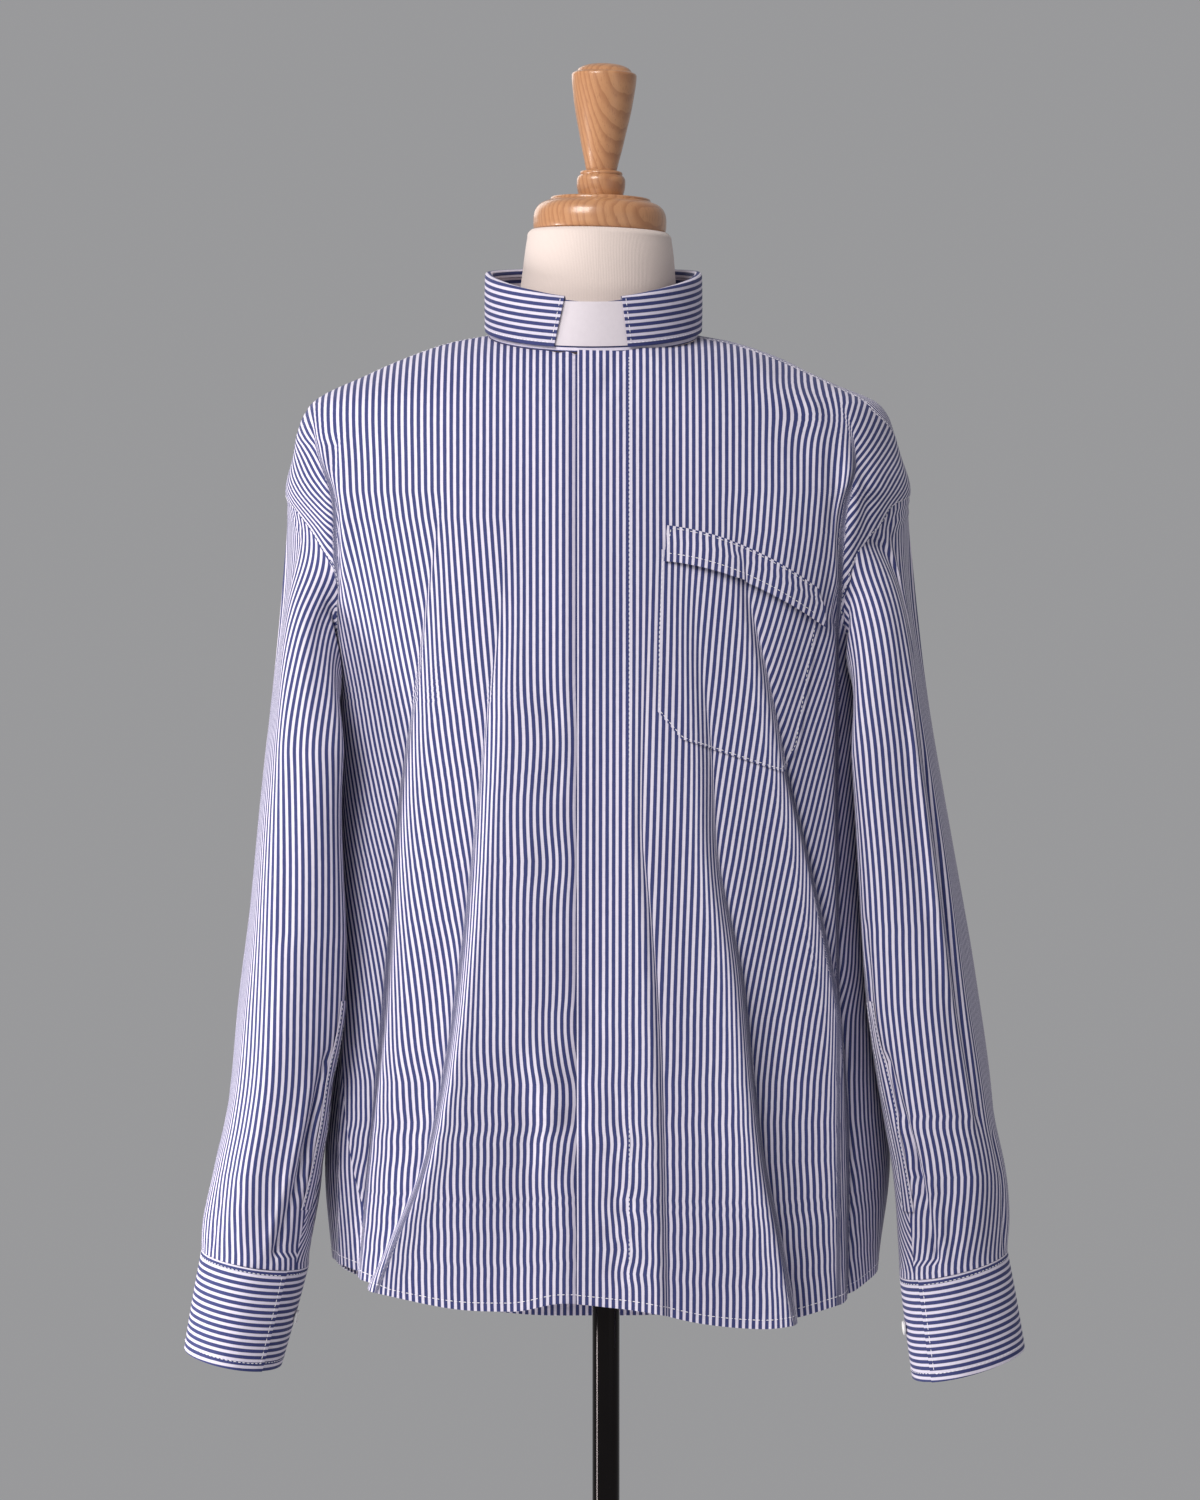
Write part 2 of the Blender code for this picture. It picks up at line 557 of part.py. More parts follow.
def even_shares(level, start, end, count):
    """Shares of a row's angle that put its columns the same distance apart along the cloth."""
    shares = np.linspace(0, 1, ARC_SAMPLES)
    points = ring_point(start + (end - start) * shares, level, BODY)
    run = np.concatenate([[0], np.cumsum(np.linalg.norm(np.diff(points, axis=0), axis=1))])
    return np.interp(np.linspace(0, run[-1], count), run, shares)


def kept_apart(stops):
    """The stops between 0 and 1, moved where they are out of order or too near each other."""
    least = np.arange(len(stops)) * COLUMN_SHARE
    apart = np.maximum.accumulate(np.array(stops) - least) + least
    return np.minimum(apart, 1 - least[::-1])


def edge_rows(side, table):
    """Levels and angles of a panel's outer edge, from the hem up the side seam and round the armhole."""
    seam = read(ARMHOLE_COLUMNS, table)
    side_levels = np.linspace(ROWS_START, UNDERARM, ROWS_BELOW)[:-1]
    side_angles = follow(side_levels, SIDES["level"], SIDES[side])
    return np.concatenate([side_levels, seam["level"]]), np.concatenate([side_angles, seam[side]])


def at_hem(level, angle):
    """The level of a point in a row: the lowest rows follow the hem and soon become level."""
    hem = hem_level(angle)
    share = (level - ROWS_START) / (HEM_BLEND - ROWS_START)
    return np.where(level < HEM_BLEND, hem + (HEM_BLEND - hem) * share, level)


def columns(levels, start, end, names, counts, even_over):
    """Angles of a panel's columns in each row. They run beside each fold low down and are even higher up."""
    shares = []
    for level, a, b in zip(levels, start, end):
        stops = [0.0]
        for name in names:
            fold = next(row for row in FOLDS if row[0] == name)
            path = np.array(FOLD_PATHS[name])
            x = float(follow(level, path[:, 0], path[:, 1]))
            half = fold[5] / 2 * FOLD_COLUMN_REACH
            pair = [float(angle_at(x + d, level, back=fold[1] == "back")) for d in (-half, half)]
            pair = [angle % 360 if fold[1] == "back" else angle for angle in pair]
            stops += sorted((angle - a) / (b - a) for angle in pair)
        shares.append(spread(kept_apart(stops + [1.0]), counts))
    shares = np.array(shares)
    even = np.array([even_shares(*row, shares.shape[1]) for row in zip(levels, start, end)])
    blend = ease(*even_over, levels)[:, None]
    shares = shares * (1 - blend) + even * blend
    return start[:, None] + (end - start)[:, None] * shares


def front_grid(side):
    levels, outer = edge_rows(side, ARMHOLE_FRONT)
    levels = np.concatenate([levels, ABOVE])
    outer = np.concatenate([outer, np.full(len(ABOVE), SHOULDER_SEAM[side])])
    inner = angle_at(UNDERLAP_EDGE if side == "right" else FLY_EDGE, levels)
    angles = columns(levels, inner, outer, *FRONT_FOLDS[side], FRONT_EVEN)
    rows = np.repeat(levels[:, None], angles.shape[1], axis=1)
    return angles, at_hem(rows, angles)


def back_grid():
    levels, start = edge_rows("left", ARMHOLE_BACK[:-YOKE_ROWS_ON_ARMHOLE])
    end = edge_rows("right", ARMHOLE_BACK[:-YOKE_ROWS_ON_ARMHOLE])[1] + 360
    angles = columns(levels, start, end, *BACK_FOLDS, BACK_EVEN)
    rows = np.repeat(levels[:, None], angles.shape[1], axis=1)
    across = (angles - angles[:, :1]) / (angles[:, -1:] - angles[:, :1])
    arch = (YOKE_AT_CENTRE_BACK - YOKE_AT_ARMHOLE) * (1 - (2 * across - 1) ** 2)
    return angles, at_hem(rows, angles) + arch * ease(*BACK_EVEN, rows)


def yoke_grid():
    back_angles, back_levels = back_grid()
    tips = read(ARMHOLE_COLUMNS, ARMHOLE_BACK[-YOKE_ROWS_ON_ARMHOLE:])
    low_angles = np.concatenate([tips["left"][::-1], back_angles[-1], tips["right"] + 360])
    low_levels = np.concatenate([tips["level"][::-1], back_levels[-1], tips["level"]])
    ends = SHOULDER_SEAM["left"], SHOULDER_SEAM["right"] + 360
    high_angles = ends[0] + (ends[1] - ends[0]) * even_shares(NECKLINE, *ends, len(low_angles))
    shares = (np.array((ARMHOLE_TOP,) + ABOVE) - ARMHOLE_TOP) / (NECKLINE - ARMHOLE_TOP)
    shares = shares[:, None]
    turn = ease(0, 1, shares)
    return low_angles + (high_angles - low_angles) * turn, low_levels + (NECKLINE - low_levels) * shares


def fly_lift(angles, levels):
    x = body_point(angles, levels)[..., 0]
    return FLY_LIFT * (1 - ease(FLY_LIFT_FADES[0], FLY_LIFT_FADES[1], x))


def panel(name, angles, levels, seams, lift=0.0):
    normals = body_normal(angles, levels)
    outer = body_point(angles, levels) + normals * np.broadcast_to(lift, angles.shape)[..., None]
    inner = outer - CLOTH * normals
    wall(name, pulled_apart(outer, seams), pulled_apart(inner, seams), "shirting")
    return outer


# ---------------------------------------------------------------- sleeves and cuffs

OUTWARD = {"right": -1.0, "left": 1.0}


def armhole_loop(side):
    """Points, normals and levels round the armhole: from its top down the front, and up the back."""
    front = read(ARMHOLE_COLUMNS, ARMHOLE_FRONT)
    back = read(ARMHOLE_COLUMNS, ARMHOLE_BACK)
    angles = np.concatenate([front[side][::-1], back[side][1:-1]])
    levels = np.concatenate([front["level"][::-1], back["level"][1:-1]])
    loops = []
    for loop in (body_point(angles, levels), body_normal(angles, levels), levels[:, None]):
        middles = (loop + np.roll(loop, -1, axis=0)) / 2
        loops.append(np.stack([loop, middles], axis=1).reshape(-1, loop.shape[-1]))
    return loops[0], unit(loops[1]), loops[2][:, 0]


def cuff_ring(side, share, turn, out=0.0):
    """A place on the cuff: share is 0 at the top edge and 1 at the bottom one, turn goes round it."""
    top, bottom = (read(CUFF_COLUMNS, (row,)) for row in CUFFS[side])
    share, turn = np.broadcast_arrays(np.asarray(share, float), np.radians(turn))
    x, y, z, half_x, half_y, slope = (top[n][0] + (bottom[n][0] - top[n][0]) * share for n in CUFF_COLUMNS)
    wide, long = (half_x + out) * np.cos(turn), (half_y + out) * np.sin(turn)
    return np.stack([x + OUTWARD[side] * wide, y - long, z + slope * wide - CUFF_FRONT_DROP * long], axis=-1)


def sleeve_section(side, level, turn):
    """A ring of the hanging sleeve: an oval deeper than wide, its front end turned towards the body."""
    table = read(SLEEVE_COLUMNS, SLEEVES[side])
    sizes = (follow(level, table["level"], table[name]) for name in SLEEVE_COLUMNS[1:])
    outer, inner, middle_y, deep, lean = sizes
    lean, turn, out = np.radians(lean), np.radians(turn), OUTWARD[side]
    half = np.abs(outer - inner) / 2
    thick = np.sqrt(half**2 - (deep * np.sin(lean)) ** 2) / np.cos(lean)
    wide, long = thick * np.cos(turn), deep * np.sin(turn)
    x = (outer + inner) / 2 + out * (wide * np.cos(lean) - long * np.sin(lean))
    y = middle_y - wide * np.sin(lean) - long * np.cos(lean)
    return np.stack([x, y, level + 0 * turn], axis=-1)


def off_body(points, clear):
    """Points that are pushed out to stay clear of the shirt's body."""
    angle = np.degrees(np.arctan2(points[..., 0] - follow(points[..., 2], BODY["level"], BODY["centre"]),
                                  -points[..., 1]))
    face = body_point(angle, points[..., 2])
    centre = follow(points[..., 2], BODY["level"], BODY["centre"])
    from_axis = points[..., :2] - np.stack([centre, 0 * centre], axis=-1)
    reach = np.linalg.norm(from_axis, axis=-1)
    needed = np.linalg.norm(face[..., :2] - np.stack([centre, 0 * centre], axis=-1), axis=-1) + clear
    scale = np.maximum(needed / reach, 1.0)[..., None]
    moved = points.copy()
    moved[..., :2] += from_axis * (scale - 1)
    return moved


def sleeve_turns():
    count = 2 * (len(ARMHOLE_FRONT) + len(ARMHOLE_BACK) - 2)
    return np.arange(count) * 360.0 / count


def sleeve_fold(side, turn, share):
    """How deep the sleeve's troughs are, round it and from its head (0) to the cuff (1)."""
    depth = np.zeros(np.broadcast(turn, share).shape)
    for head, foot, trough, half in SLEEVE_FOLDS[side]:
        away = (turn - (head + (foot - head) * share) + 180) % 360 - 180
        depth = depth + trough * np.exp(-((away / half) ** 2)) * np.sin(np.pi * np.clip(share, 0, 1)) ** 0.7
    return depth


def sleeve_grid(side):
    """Rings from the armhole to the cuff's top edge."""
    start, normals, levels = armhole_loop(side)
    turn = sleeve_turns()
    to_middle = start.mean(axis=0) - start
    into_hole = unit(to_middle - normals * (to_middle * normals).sum(axis=1, keepdims=True))
    hang = ease(ARMHOLE_TOP, UNDERARM, levels)[:, None]
    angle = SLEEVE_TURN * hang
    leave = into_hole * np.cos(angle) + normals * np.sin(angle)
    table = read(SLEEVE_COLUMNS, SLEEVES[side])["level"]
    first = sleeve_section(side, table[0], turn)
    second = sleeve_section(side, table[0] - 0.01, turn)
    down = unit(second - first)
    reach = np.linalg.norm(first - start, axis=1, keepdims=True)
    rings = []
    for t in np.linspace(0, 1, SLEEVE_HEAD_ROWS + 1):
        ring = (start * (2 * t**3 - 3 * t**2 + 1) + first * (3 * t**2 - 2 * t**3)
                + leave * reach * (t**3 - 2 * t**2 + t) + down * reach * (t**3 - t**2))
        rings.append(off_body(ring, SLEEVE_CLEAR * ease(0, SLEEVE_CLEAR_BY, t)) if t else ring)
    for level in table[1:]:
        rings.append(off_body(sleeve_section(side, level, turn), SLEEVE_CLEAR))
    grid = np.array(rings)
    rows = len(grid)
    share = np.arange(rows)[:, None] / rows
    middle = grid.mean(axis=1, keepdims=True)
    inward = unit((middle - grid) * (1, 1, 0))
    grid = grid + inward * sleeve_fold(side, turn[None, :], share)[..., None]
    return np.concatenate([grid, (cuff_ring(side, 0.0, turn) + (0, 0, SEAM_GAP))[None]])


def grid_normals(grid, outward_sign):
    """Outward normals of a grid that goes all round."""
    round_it = np.roll(grid, -1, axis=1) - np.roll(grid, 1, axis=1)
    down_it = np.gradient(grid, axis=0)
    return unit(np.cross(round_it, down_it) * outward_sign)


def sleeve(side):
    grid = sleeve_grid(side)
    normals = grid_normals(grid, OUTWARD[side])
    inner = grid - CLOTH * normals
    inner[-1] = cuff_ring(side, 0.0, sleeve_turns(), -CLOTH) + (0, 0, SEAM_GAP)
    outer = pulled_apart(grid, ("first row",))
    wall("sleeve_" + side, outer, pulled_apart(inner, ("first row",)), "shirting", closed=True)
    a, b = PLACKET_SPAN
    strip, off = (part[-PLACKET_ROWS - 1:-1, a:b + 1] for part in (grid, normals))
    wall("placket_" + side, strip + off * LAYER, strip + off * SEAM_GAP, "shirting")


def cuff(side):
    turn = CUFF_END[side] - CUFF_LAP + np.linspace(0, 360 + CUFF_LAP, CUFF_COLUMNS_ROUND)
    lift = (LAYER + SEAM_GAP) * ease(*CUFF_RISES, turn - turn[0])
    shares = np.linspace(0, 1, 3)[:, None]
    outer = cuff_ring(side, shares, turn, lift)
    wall("cuff_" + side, outer, cuff_ring(side, shares, turn, lift - CLOTH), "shirting")
    at = CUFF_END[side] + BUTTON_FROM_END
    base = mathutils.Vector(cuff_ring(side, 0.5, at))
    up = mathutils.Vector(cuff_ring(side, 0.4, at)) - base
    out = up.cross(mathutils.Vector(cuff_ring(side, 0.5, at + 5)) - base) * OUTWARD[side]
    out.normalize()
    place = base + out * (BUTTON_THICK / 2 + 2 * SEAM_GAP)
    bm = bmesh.new()
    turn_to = out.to_track_quat("Z", "Y").to_matrix().to_4x4()
    rod(bm, BUTTON_RADIUS, BUTTON_THICK, BUTTON_SEGMENTS, mathutils.Matrix.Translation(place) @ turn_to)
    finish_object("cuff_button_" + side, bm, "button_white")


# ---------------------------------------------------------------- collar

def neck_point(angle, up, out):
    """A place on the collar: up from the neckline, and out from the neckband's own face."""
    angle, up, out = np.broadcast_arrays(angle, up, out)
    base = body_point(angle, NECKLINE)
    beside = body_point(angle + 0.5, NECKLINE) - body_point(angle - 0.5, NECKLINE)
    flat = unit(np.stack([beside[..., 1], -beside[..., 0], 0 * angle], axis=-1))
    return base + flat * out[..., None] + np.stack([0 * up, 0 * up, up], axis=-1)


def around(angle, heights):
    return follow(np.abs((np.asarray(angle) + 180) % 360 - 180), AROUND, heights)


def collar_set():
    turn = np.arange(0, 360, COLLAR_STEP)
    band_top = around(turn, FALL_TOP) - FALL_THICK - SEAM_GAP
    shares = np.linspace(0, 1, 3)[:, None]
    up = SEAM_GAP + (band_top - SEAM_GAP) * shares
    wall("neckband", neck_point(turn, up, 0.0), neck_point(turn, up, -CLOTH), "shirting", closed=True)

    first, last = FALL_EDGES[1], 360 + FALL_EDGES[0]
    steps = np.arange(0, 360, COLLAR_STEP)
    apart = COLLAR_STEP / 2
    turn = np.concatenate([[first], steps[(steps > first + apart) & (steps < last - apart)], [last]])
    bottom, top = around(turn, FALL_BOTTOM), around(turn, FALL_TOP)
    face = FALL_OFF_BAND + FALL_THICK
    inside = -CLOTH - SEAM_GAP
    soft = FALL_THICK * FALL_SOFT
    outer_rows = ((face, bottom), (face, (bottom + top) / 2), (face, top - soft), (face - soft, top),
                  (inside - FALL_THICK + soft, top), (inside - FALL_THICK, top - soft),
                  (inside - FALL_THICK, top - FALL_TURN_IN))
    under = top - FALL_THICK
    inner_rows = ((FALL_OFF_BAND, bottom), (FALL_OFF_BAND, (bottom + top) / 2), (FALL_OFF_BAND, under),
                  (FALL_OFF_BAND / 2, under), (inside / 2, under), (inside, under),
                  (inside, top - FALL_TURN_IN))
    outer = np.array([neck_point(turn, up, out) for out, up in outer_rows])
    inner = np.array([neck_point(turn, up, out) for out, up in inner_rows])
    wall("collar", outer, inner, "shirting")

    turn = np.arange(TAB_EDGES[0], TAB_EDGES[1] + 1, COLLAR_STEP)
    up = np.linspace(TAB_REACH[0], TAB_REACH[1], 3)[:, None]
    outer = neck_point(turn, up, SEAM_GAP + TAB_THICK)
    wall("tab_insert", outer, neck_point(turn, up, SEAM_GAP), "tab_white")


# ---------------------------------------------------------------- pocket

def flap_arch(x):
    middle, half, rise = FLAP_ARCH
    return rise * (1 - ((x - middle) / half) ** 2)


def flap_height(place):
    """How far a place of the flap is above its bottom edge."""
    (ax, az), (bx, bz) = FLAP[1], FLAP[2]
    return place.z - flap_arch(place.x) - az - (bz - az) * (place.x - ax) / (bx - ax)


def pocket_and_flap(front):
    patch("pocket", front, POCKET, "shirting", lambda place: SEAM_GAP)
    low, high = FLAP_DROPS
    lines = [((FLAP[1][0], FLAP[1][1] + up), (FLAP[2][0], FLAP[2][1] + up)) for up in (low, high)]

    def flap_lift(place):
        return SEAM_GAP + (LAYER + SEAM_GAP) * (1 - float(ease(low, high, flap_height(place))))

    patch("pocket_flap", front, FLAP, "shirting", flap_lift, warp=flap_arch, extra_lines=lines)


# ---------------------------------------------------------------- dress form and stand

def lean(points):
    """Leans the neck's top towards the wearer's left."""
    share = ease(NECK_RINGS[2][0], NECK_RINGS[3][0], points[..., 2])
    moved = points.copy()
    moved[..., 2] -= (points[..., 0] - NECK_TOP[0]) * math.tan(CAP_LEAN) * share
    return moved


def form_torso():
    turn = 360 * even_shares(FORM_RINGS[-1][0], 0, 360, FORM_COLUMNS_ROUND + 1)[:-1]
    rings = [ring_point(turn, level, read(BODY_COLUMNS, FORM_RINGS)) for level, *_ in FORM_RINGS]
    for level in ABOVE[3:]:
        rings.append(ring_point(turn, level, BODY) - FORM_UNDER_CLOTH * body_normal(turn, level))
    neck = read(BODY_COLUMNS, NECK_RINGS)
    rings += [lean(ring_point(turn, level, neck)) for level, *_ in NECK_RINGS]
    bm = bmesh.new()
    loops = [[bm.verts.new(p) for p in ring] for ring in rings]
    for low, high in zip(loops, loops[1:]):
        for c in range(len(turn)):
            d = (c + 1) % len(turn)
            bm.faces.new([low[c], low[d], high[d], high[c]])
    bm.faces.new(loops[0][::-1])
    bm.faces.new(loops[-1])
    finish_object("form_torso", bm, "form_jersey")


def turned(name, profile, place, steps, finish, tilt=0.0):
    """A body of revolution about an upright axis, which may lean towards the wearer's left."""
    bm = bmesh.new()
    verts = [bm.verts.new((radius, 0, height)) for radius, height in profile]
    edges = [bm.edges.new(pair) for pair in zip(verts, verts[1:])]
    bmesh.ops.spin(bm, geom=verts + edges, cent=(0, 0, 0), axis=(0, 0, 1), angle=math.tau, steps=steps,
                   use_merge=True)
    bmesh.ops.remove_doubles(bm, verts=bm.verts, dist=AXIS_MERGE)
    matrix = mathutils.Matrix.Translation(place) @ mathutils.Matrix.Rotation(tilt, 4, "Y")
    bmesh.ops.transform(bm, matrix=matrix, verts=bm.verts)
    finish_object(name, bm, finish)


def stand():
    turned("neck_cap", CAP_PROFILE, NECK_TOP, CAP_STEPS, "turned_wood", CAP_LEAN)
    lift = mathutils.Matrix.Rotation(CAP_LEAN, 4, "Y") @ mathutils.Vector((0, 0, FINIAL_FOOT))
    place = [a + b for a, b in zip(NECK_TOP, lift)]
    turned("finial", FINIAL_PROFILE, place, FINIAL_STEPS, "turned_wood", CAP_LEAN)
    height = FORM_RINGS[0][0] - SEAM_GAP - POLE_FOOT
    bm = bmesh.new()
    rod(bm, POLE_RADIUS, height, POLE_SEGMENTS, mathutils.Matrix.Translation((0, 0, POLE_FOOT + height / 2)))
    finish_object("pole", bm, "polished_steel")
    turned("foot", FOOT_PROFILE, (0, 0, 0), FOOT_STEPS, "polished_steel")


# ---------------------------------------------------------------- build

def build():
    for old in bpy.data.objects[:]:
        bpy.data.objects.remove(old, do_unlink=True)
    around_edge = ("last column", "last row")
    panel("front_right", *front_grid("right"), around_edge)
    angles, levels = front_grid("left")
    front = panel("front_left", angles, levels, around_edge, fly_lift(angles, levels))
    panel("back", *back_grid(), ("first column", "last column", "last row"))
    panel("yoke", *yoke_grid(), ("first column", "last column", "first row", "last row"))
    for side in ("right", "left"):
        sleeve(side)
        cuff(side)
    collar_set()
    pocket_and_flap(front)
    form_torso()
    stand()


build()
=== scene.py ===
import math

import bmesh
import bpy
import mathutils
import numpy as np
from mathutils.bvhtree import BVHTree
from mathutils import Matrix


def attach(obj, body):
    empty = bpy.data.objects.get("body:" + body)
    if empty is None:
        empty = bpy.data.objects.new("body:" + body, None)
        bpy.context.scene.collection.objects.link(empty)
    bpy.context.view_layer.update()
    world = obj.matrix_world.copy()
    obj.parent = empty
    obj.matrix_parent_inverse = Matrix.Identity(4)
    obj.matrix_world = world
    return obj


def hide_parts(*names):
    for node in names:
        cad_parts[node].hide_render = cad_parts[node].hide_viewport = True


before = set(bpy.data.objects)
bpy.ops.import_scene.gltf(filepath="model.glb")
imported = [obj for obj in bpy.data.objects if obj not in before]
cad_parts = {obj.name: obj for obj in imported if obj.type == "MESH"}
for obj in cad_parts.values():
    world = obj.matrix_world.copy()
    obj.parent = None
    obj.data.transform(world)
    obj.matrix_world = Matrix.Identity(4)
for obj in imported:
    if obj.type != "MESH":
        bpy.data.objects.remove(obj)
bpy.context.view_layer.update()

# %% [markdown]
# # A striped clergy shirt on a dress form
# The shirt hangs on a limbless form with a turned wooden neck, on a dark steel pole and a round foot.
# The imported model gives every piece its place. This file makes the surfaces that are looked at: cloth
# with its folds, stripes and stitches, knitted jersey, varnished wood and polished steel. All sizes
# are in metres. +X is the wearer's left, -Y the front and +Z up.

# %% [markdown]
# ## The camera
# The picture was taken level, from about five metres, with a long lens. A camera at that distance
# gives the same slight perspective, so the near shoulders and the far hem keep their proportions.

# %% Camera
CAMERA_PLACE = (-0.0046, -5, 1.135)
LENS = 156

view = bpy.data.cameras.new("camera")
view.lens = LENS
view.sensor_width = 36
camera = bpy.data.objects.new("camera", view)
camera.location = CAMERA_PLACE
camera.rotation_euler = (math.radians(90), 0, 0)
bpy.context.scene.collection.objects.link(camera)
bpy.context.scene.camera = camera
print("camera at", CAMERA_PLACE, "with a lens of", LENS, "mm")

# %% [markdown]
# ## Floor and light
# Cloth shows its folds when one broad light comes from the side and a weaker one fills the shadows.
# The large softbox stands high at the left of the camera, and the pale surroundings lift the dark
# side. A narrow one at the left gives the pole its bright edge.

# %% Floor and light
FLOOR_RADIUS = 3.0

bm = bmesh.new()
bmesh.ops.create_circle(bm, cap_ends=True, segments=96, radius=FLOOR_RADIUS,
                        matrix=mathutils.Matrix.Translation((0, 0, -0.0005)))
floor_mesh = bpy.data.meshes.new("floor")
bm.to_mesh(floor_mesh)
bm.free()
floor = bpy.data.objects.new("floor", floor_mesh)
bpy.context.scene.collection.objects.link(floor)


def softbox(name, place, aim, size, power, colour, height=None):
    """An area light that looks at a point, square unless it has a height of its own."""
    light = bpy.data.lights.new(name, "AREA")
    light.shape = "RECTANGLE"
    light.size = size
    light.size_y = height or size
    light.energy = power
    light.color = colour
    lamp = bpy.data.objects.new(name, light)
    lamp.location = place
    towards = mathutils.Vector(aim) - mathutils.Vector(place)
    lamp.rotation_euler = towards.to_track_quat("-Z", "Y").to_euler()
    bpy.context.scene.collection.objects.link(lamp)
    return lamp


softbox("key", (-1.7, -2.5, 3.3), (0, 0, 1.2), 1.7, 121, (1.0, 0.985, 0.965))
softbox("fill", (2.6, -2.9, 1.5), (0, 0, 1.1), 2.2, 5, (0.96, 0.98, 1.0))
softbox("rim", (-1.4, 2.6, 2.6), (0, 0, 1.2), 1.6, 12, (1.0, 0.99, 0.97))
softbox("strip", (-1.7, -0.25, 0.5), (0, 0, 0.5), 0.16, 26.0, (1.0, 0.99, 0.98), 1.3)

surroundings = bpy.data.worlds.new("surroundings")
surroundings.use_nodes = True
sky = surroundings.node_tree.nodes["Background"]
sky.inputs["Color"].default_value = (0.8, 0.8, 0.82, 1)
sky.inputs["Strength"].default_value = 0.4
bpy.context.scene.world = surroundings
bpy.context.scene.view_settings.view_transform = "Standard"
print("four softboxes and a pale floor of", FLOOR_RADIUS, "m radius")

# %% [markdown]
# ## Shader maths
# A pattern is a sum, such as how far a point is from the middle of its stripe. Nodes can do sums, but
# a page of linked boxes is hard to read. This class holds one socket and lets Python's own signs make
# the nodes: `1 - mask` adds a Math node and returns its result.

# %% A socket that can be reckoned with


class Wire:
    """One output socket of a material. Arithmetic on it adds Math nodes."""

    def __init__(self, tree, socket=None):
        self.tree = tree
        self.socket = socket

    def node(self, kind, settings=None, inputs=None, output=0):
        """Adds a node. Its settings come first, then the values or wires of its inputs."""
        made = self.tree.nodes.new(kind)
        for name, value in (settings or {}).items():
            if name == "stops":
                ramp = made.color_ramp
                while len(ramp.elements) < len(value):
                    ramp.elements.new(0.5)
                for stop, (place, colour) in zip(ramp.elements, value):
                    stop.position = place
                    stop.color = colour
            else:
                setattr(made, name, value)
        for name, value in (inputs or {}).items():
            if isinstance(value, Wire):
                self.tree.links.new(value.socket, made.inputs[name])
            else:
                made.inputs[name].default_value = value
        return Wire(self.tree, made.outputs[output])

    def math(self, operation, *values):
        return self.node("ShaderNodeMath", {"operation": operation}, dict(enumerate(values)))

    def __add__(self, other):
        return self.math("ADD", self, other)

    def __sub__(self, other):
        return self.math("SUBTRACT", self, other)

    def __rsub__(self, other):
        return self.math("SUBTRACT", other, self)

    def __mul__(self, other):
        return self.math("MULTIPLY", self, other)

    def __truediv__(self, other):
        return self.math("DIVIDE", self, other)

    def __abs__(self):
        return self.math("ABSOLUTE", self)

    __radd__ = __add__
    __rmul__ = __mul__

    def part(self, axis):
        """One number of a vector: its X, Y or Z."""
        return self.node("ShaderNodeSeparateXYZ", {}, {"Vector": self}, axis)

    def fraction(self):
        return self.math("FRACT", self)

    def wave(self):
        return self.math("SINE", self)

    def rise(self, low, high):
        """0 below low, 1 above high and smooth between them."""
        return self.node("ShaderNodeMapRange", {"interpolation_type": "SMOOTHSTEP"},
                         {"Value": self, "From Min": low, "From Max": high})


def mixed(amount, first, second):
    """Two colours mixed: the first where the amount is 0, the second where it is 1."""
    return amount.node("ShaderNodeMix", {"data_type": "RGBA"}, {0: amount, 6: first, 7: second}, 2)


def own_place(start):
    """Where a point lies on its own object."""
    return start.node("ShaderNodeTexCoord", {}, {}, "Object")


def cloth_place(start):
    """Where a point lies on its piece of cloth: across and along, in metres."""
    return start.node("ShaderNodeUVMap", {"uv_map": "cloth"})


def bumped(relief, strength):
    """A normal that follows a relief given in metres."""
    return relief.node("ShaderNodeBump", {}, {"Strength": strength, "Distance": 1.0, "Height": relief})


def scaled(vector, by):
    """A vector wire, stretched along each axis."""
    return vector.node("ShaderNodeMapping", {}, {"Vector": vector, "Scale": by})


def cloudy(vector, scale, detail=2.0, rough=0.5):
    """A soft irregular pattern from 0 to 1."""
    return vector.node("ShaderNodeTexNoise", {},
                       {"Vector": vector, "Scale": scale, "Detail": detail, "Roughness": rough})


def new_finish(name, fixed, made_by):
    """A material whose constants sit on the shader's own sockets, and whose pattern made_by wires."""
    finish = bpy.data.materials.new(name)
    finish.use_nodes = True
    shader = finish.node_tree.nodes["Principled BSDF"]
    for socket, value in fixed.items():
        shader.inputs[socket].default_value = value
    start = Wire(finish.node_tree)
    for socket, wire in made_by(start).items():
        finish.node_tree.links.new(wire.socket, shader.inputs[socket])
    return finish


def floor_grey(start):
    place = own_place(start)
    return {"Base Color": mixed(cloudy(place, 3.0), (0.6, 0.6, 0.61, 1), (0.66, 0.66, 0.67, 1))}


floor_mesh.materials.append(new_finish("floor_grey", {"Roughness": 0.9}, floor_grey))

# %% [markdown]
# ## Striped shirting
# Real shirting is woven from white and navy threads. The stripe is a matter of position across the
# cloth, so every cloth piece gets a UV map in metres: its first number runs across the stripes and its
# second along them. Folds then squeeze the stripes just as they squeeze the cloth. The edge of a
# stripe is a little ragged, because threads are, and fine cross threads break up its colour. An
# attribute called shade paints shade into the colour: a painted shadow in deep tucks and beside the
# fly's edge, and an even painted darkening of the collar and cuffs.

# %% Striped shirting
STRIPE_PITCH = 0.005
DARK_SHARE = 0.55
STRIPE_EDGE = 0.055
THREAD = 0.00042
PALE_YARN = (0.79, 0.735, 0.85, 1)
PALE_SHADE = (0.69, 0.635, 0.765, 1)
NAVY_YARN = (0.027, 0.035, 0.135, 1)
NAVY_WORN = (0.05, 0.059, 0.19, 1)
# the colour of painted shade: in tucks, beside the fly's edge, and evenly on collar and cuffs
IN_SHADE = (0.02, 0.024, 0.08, 1)  # deep in a tuck, where little light comes


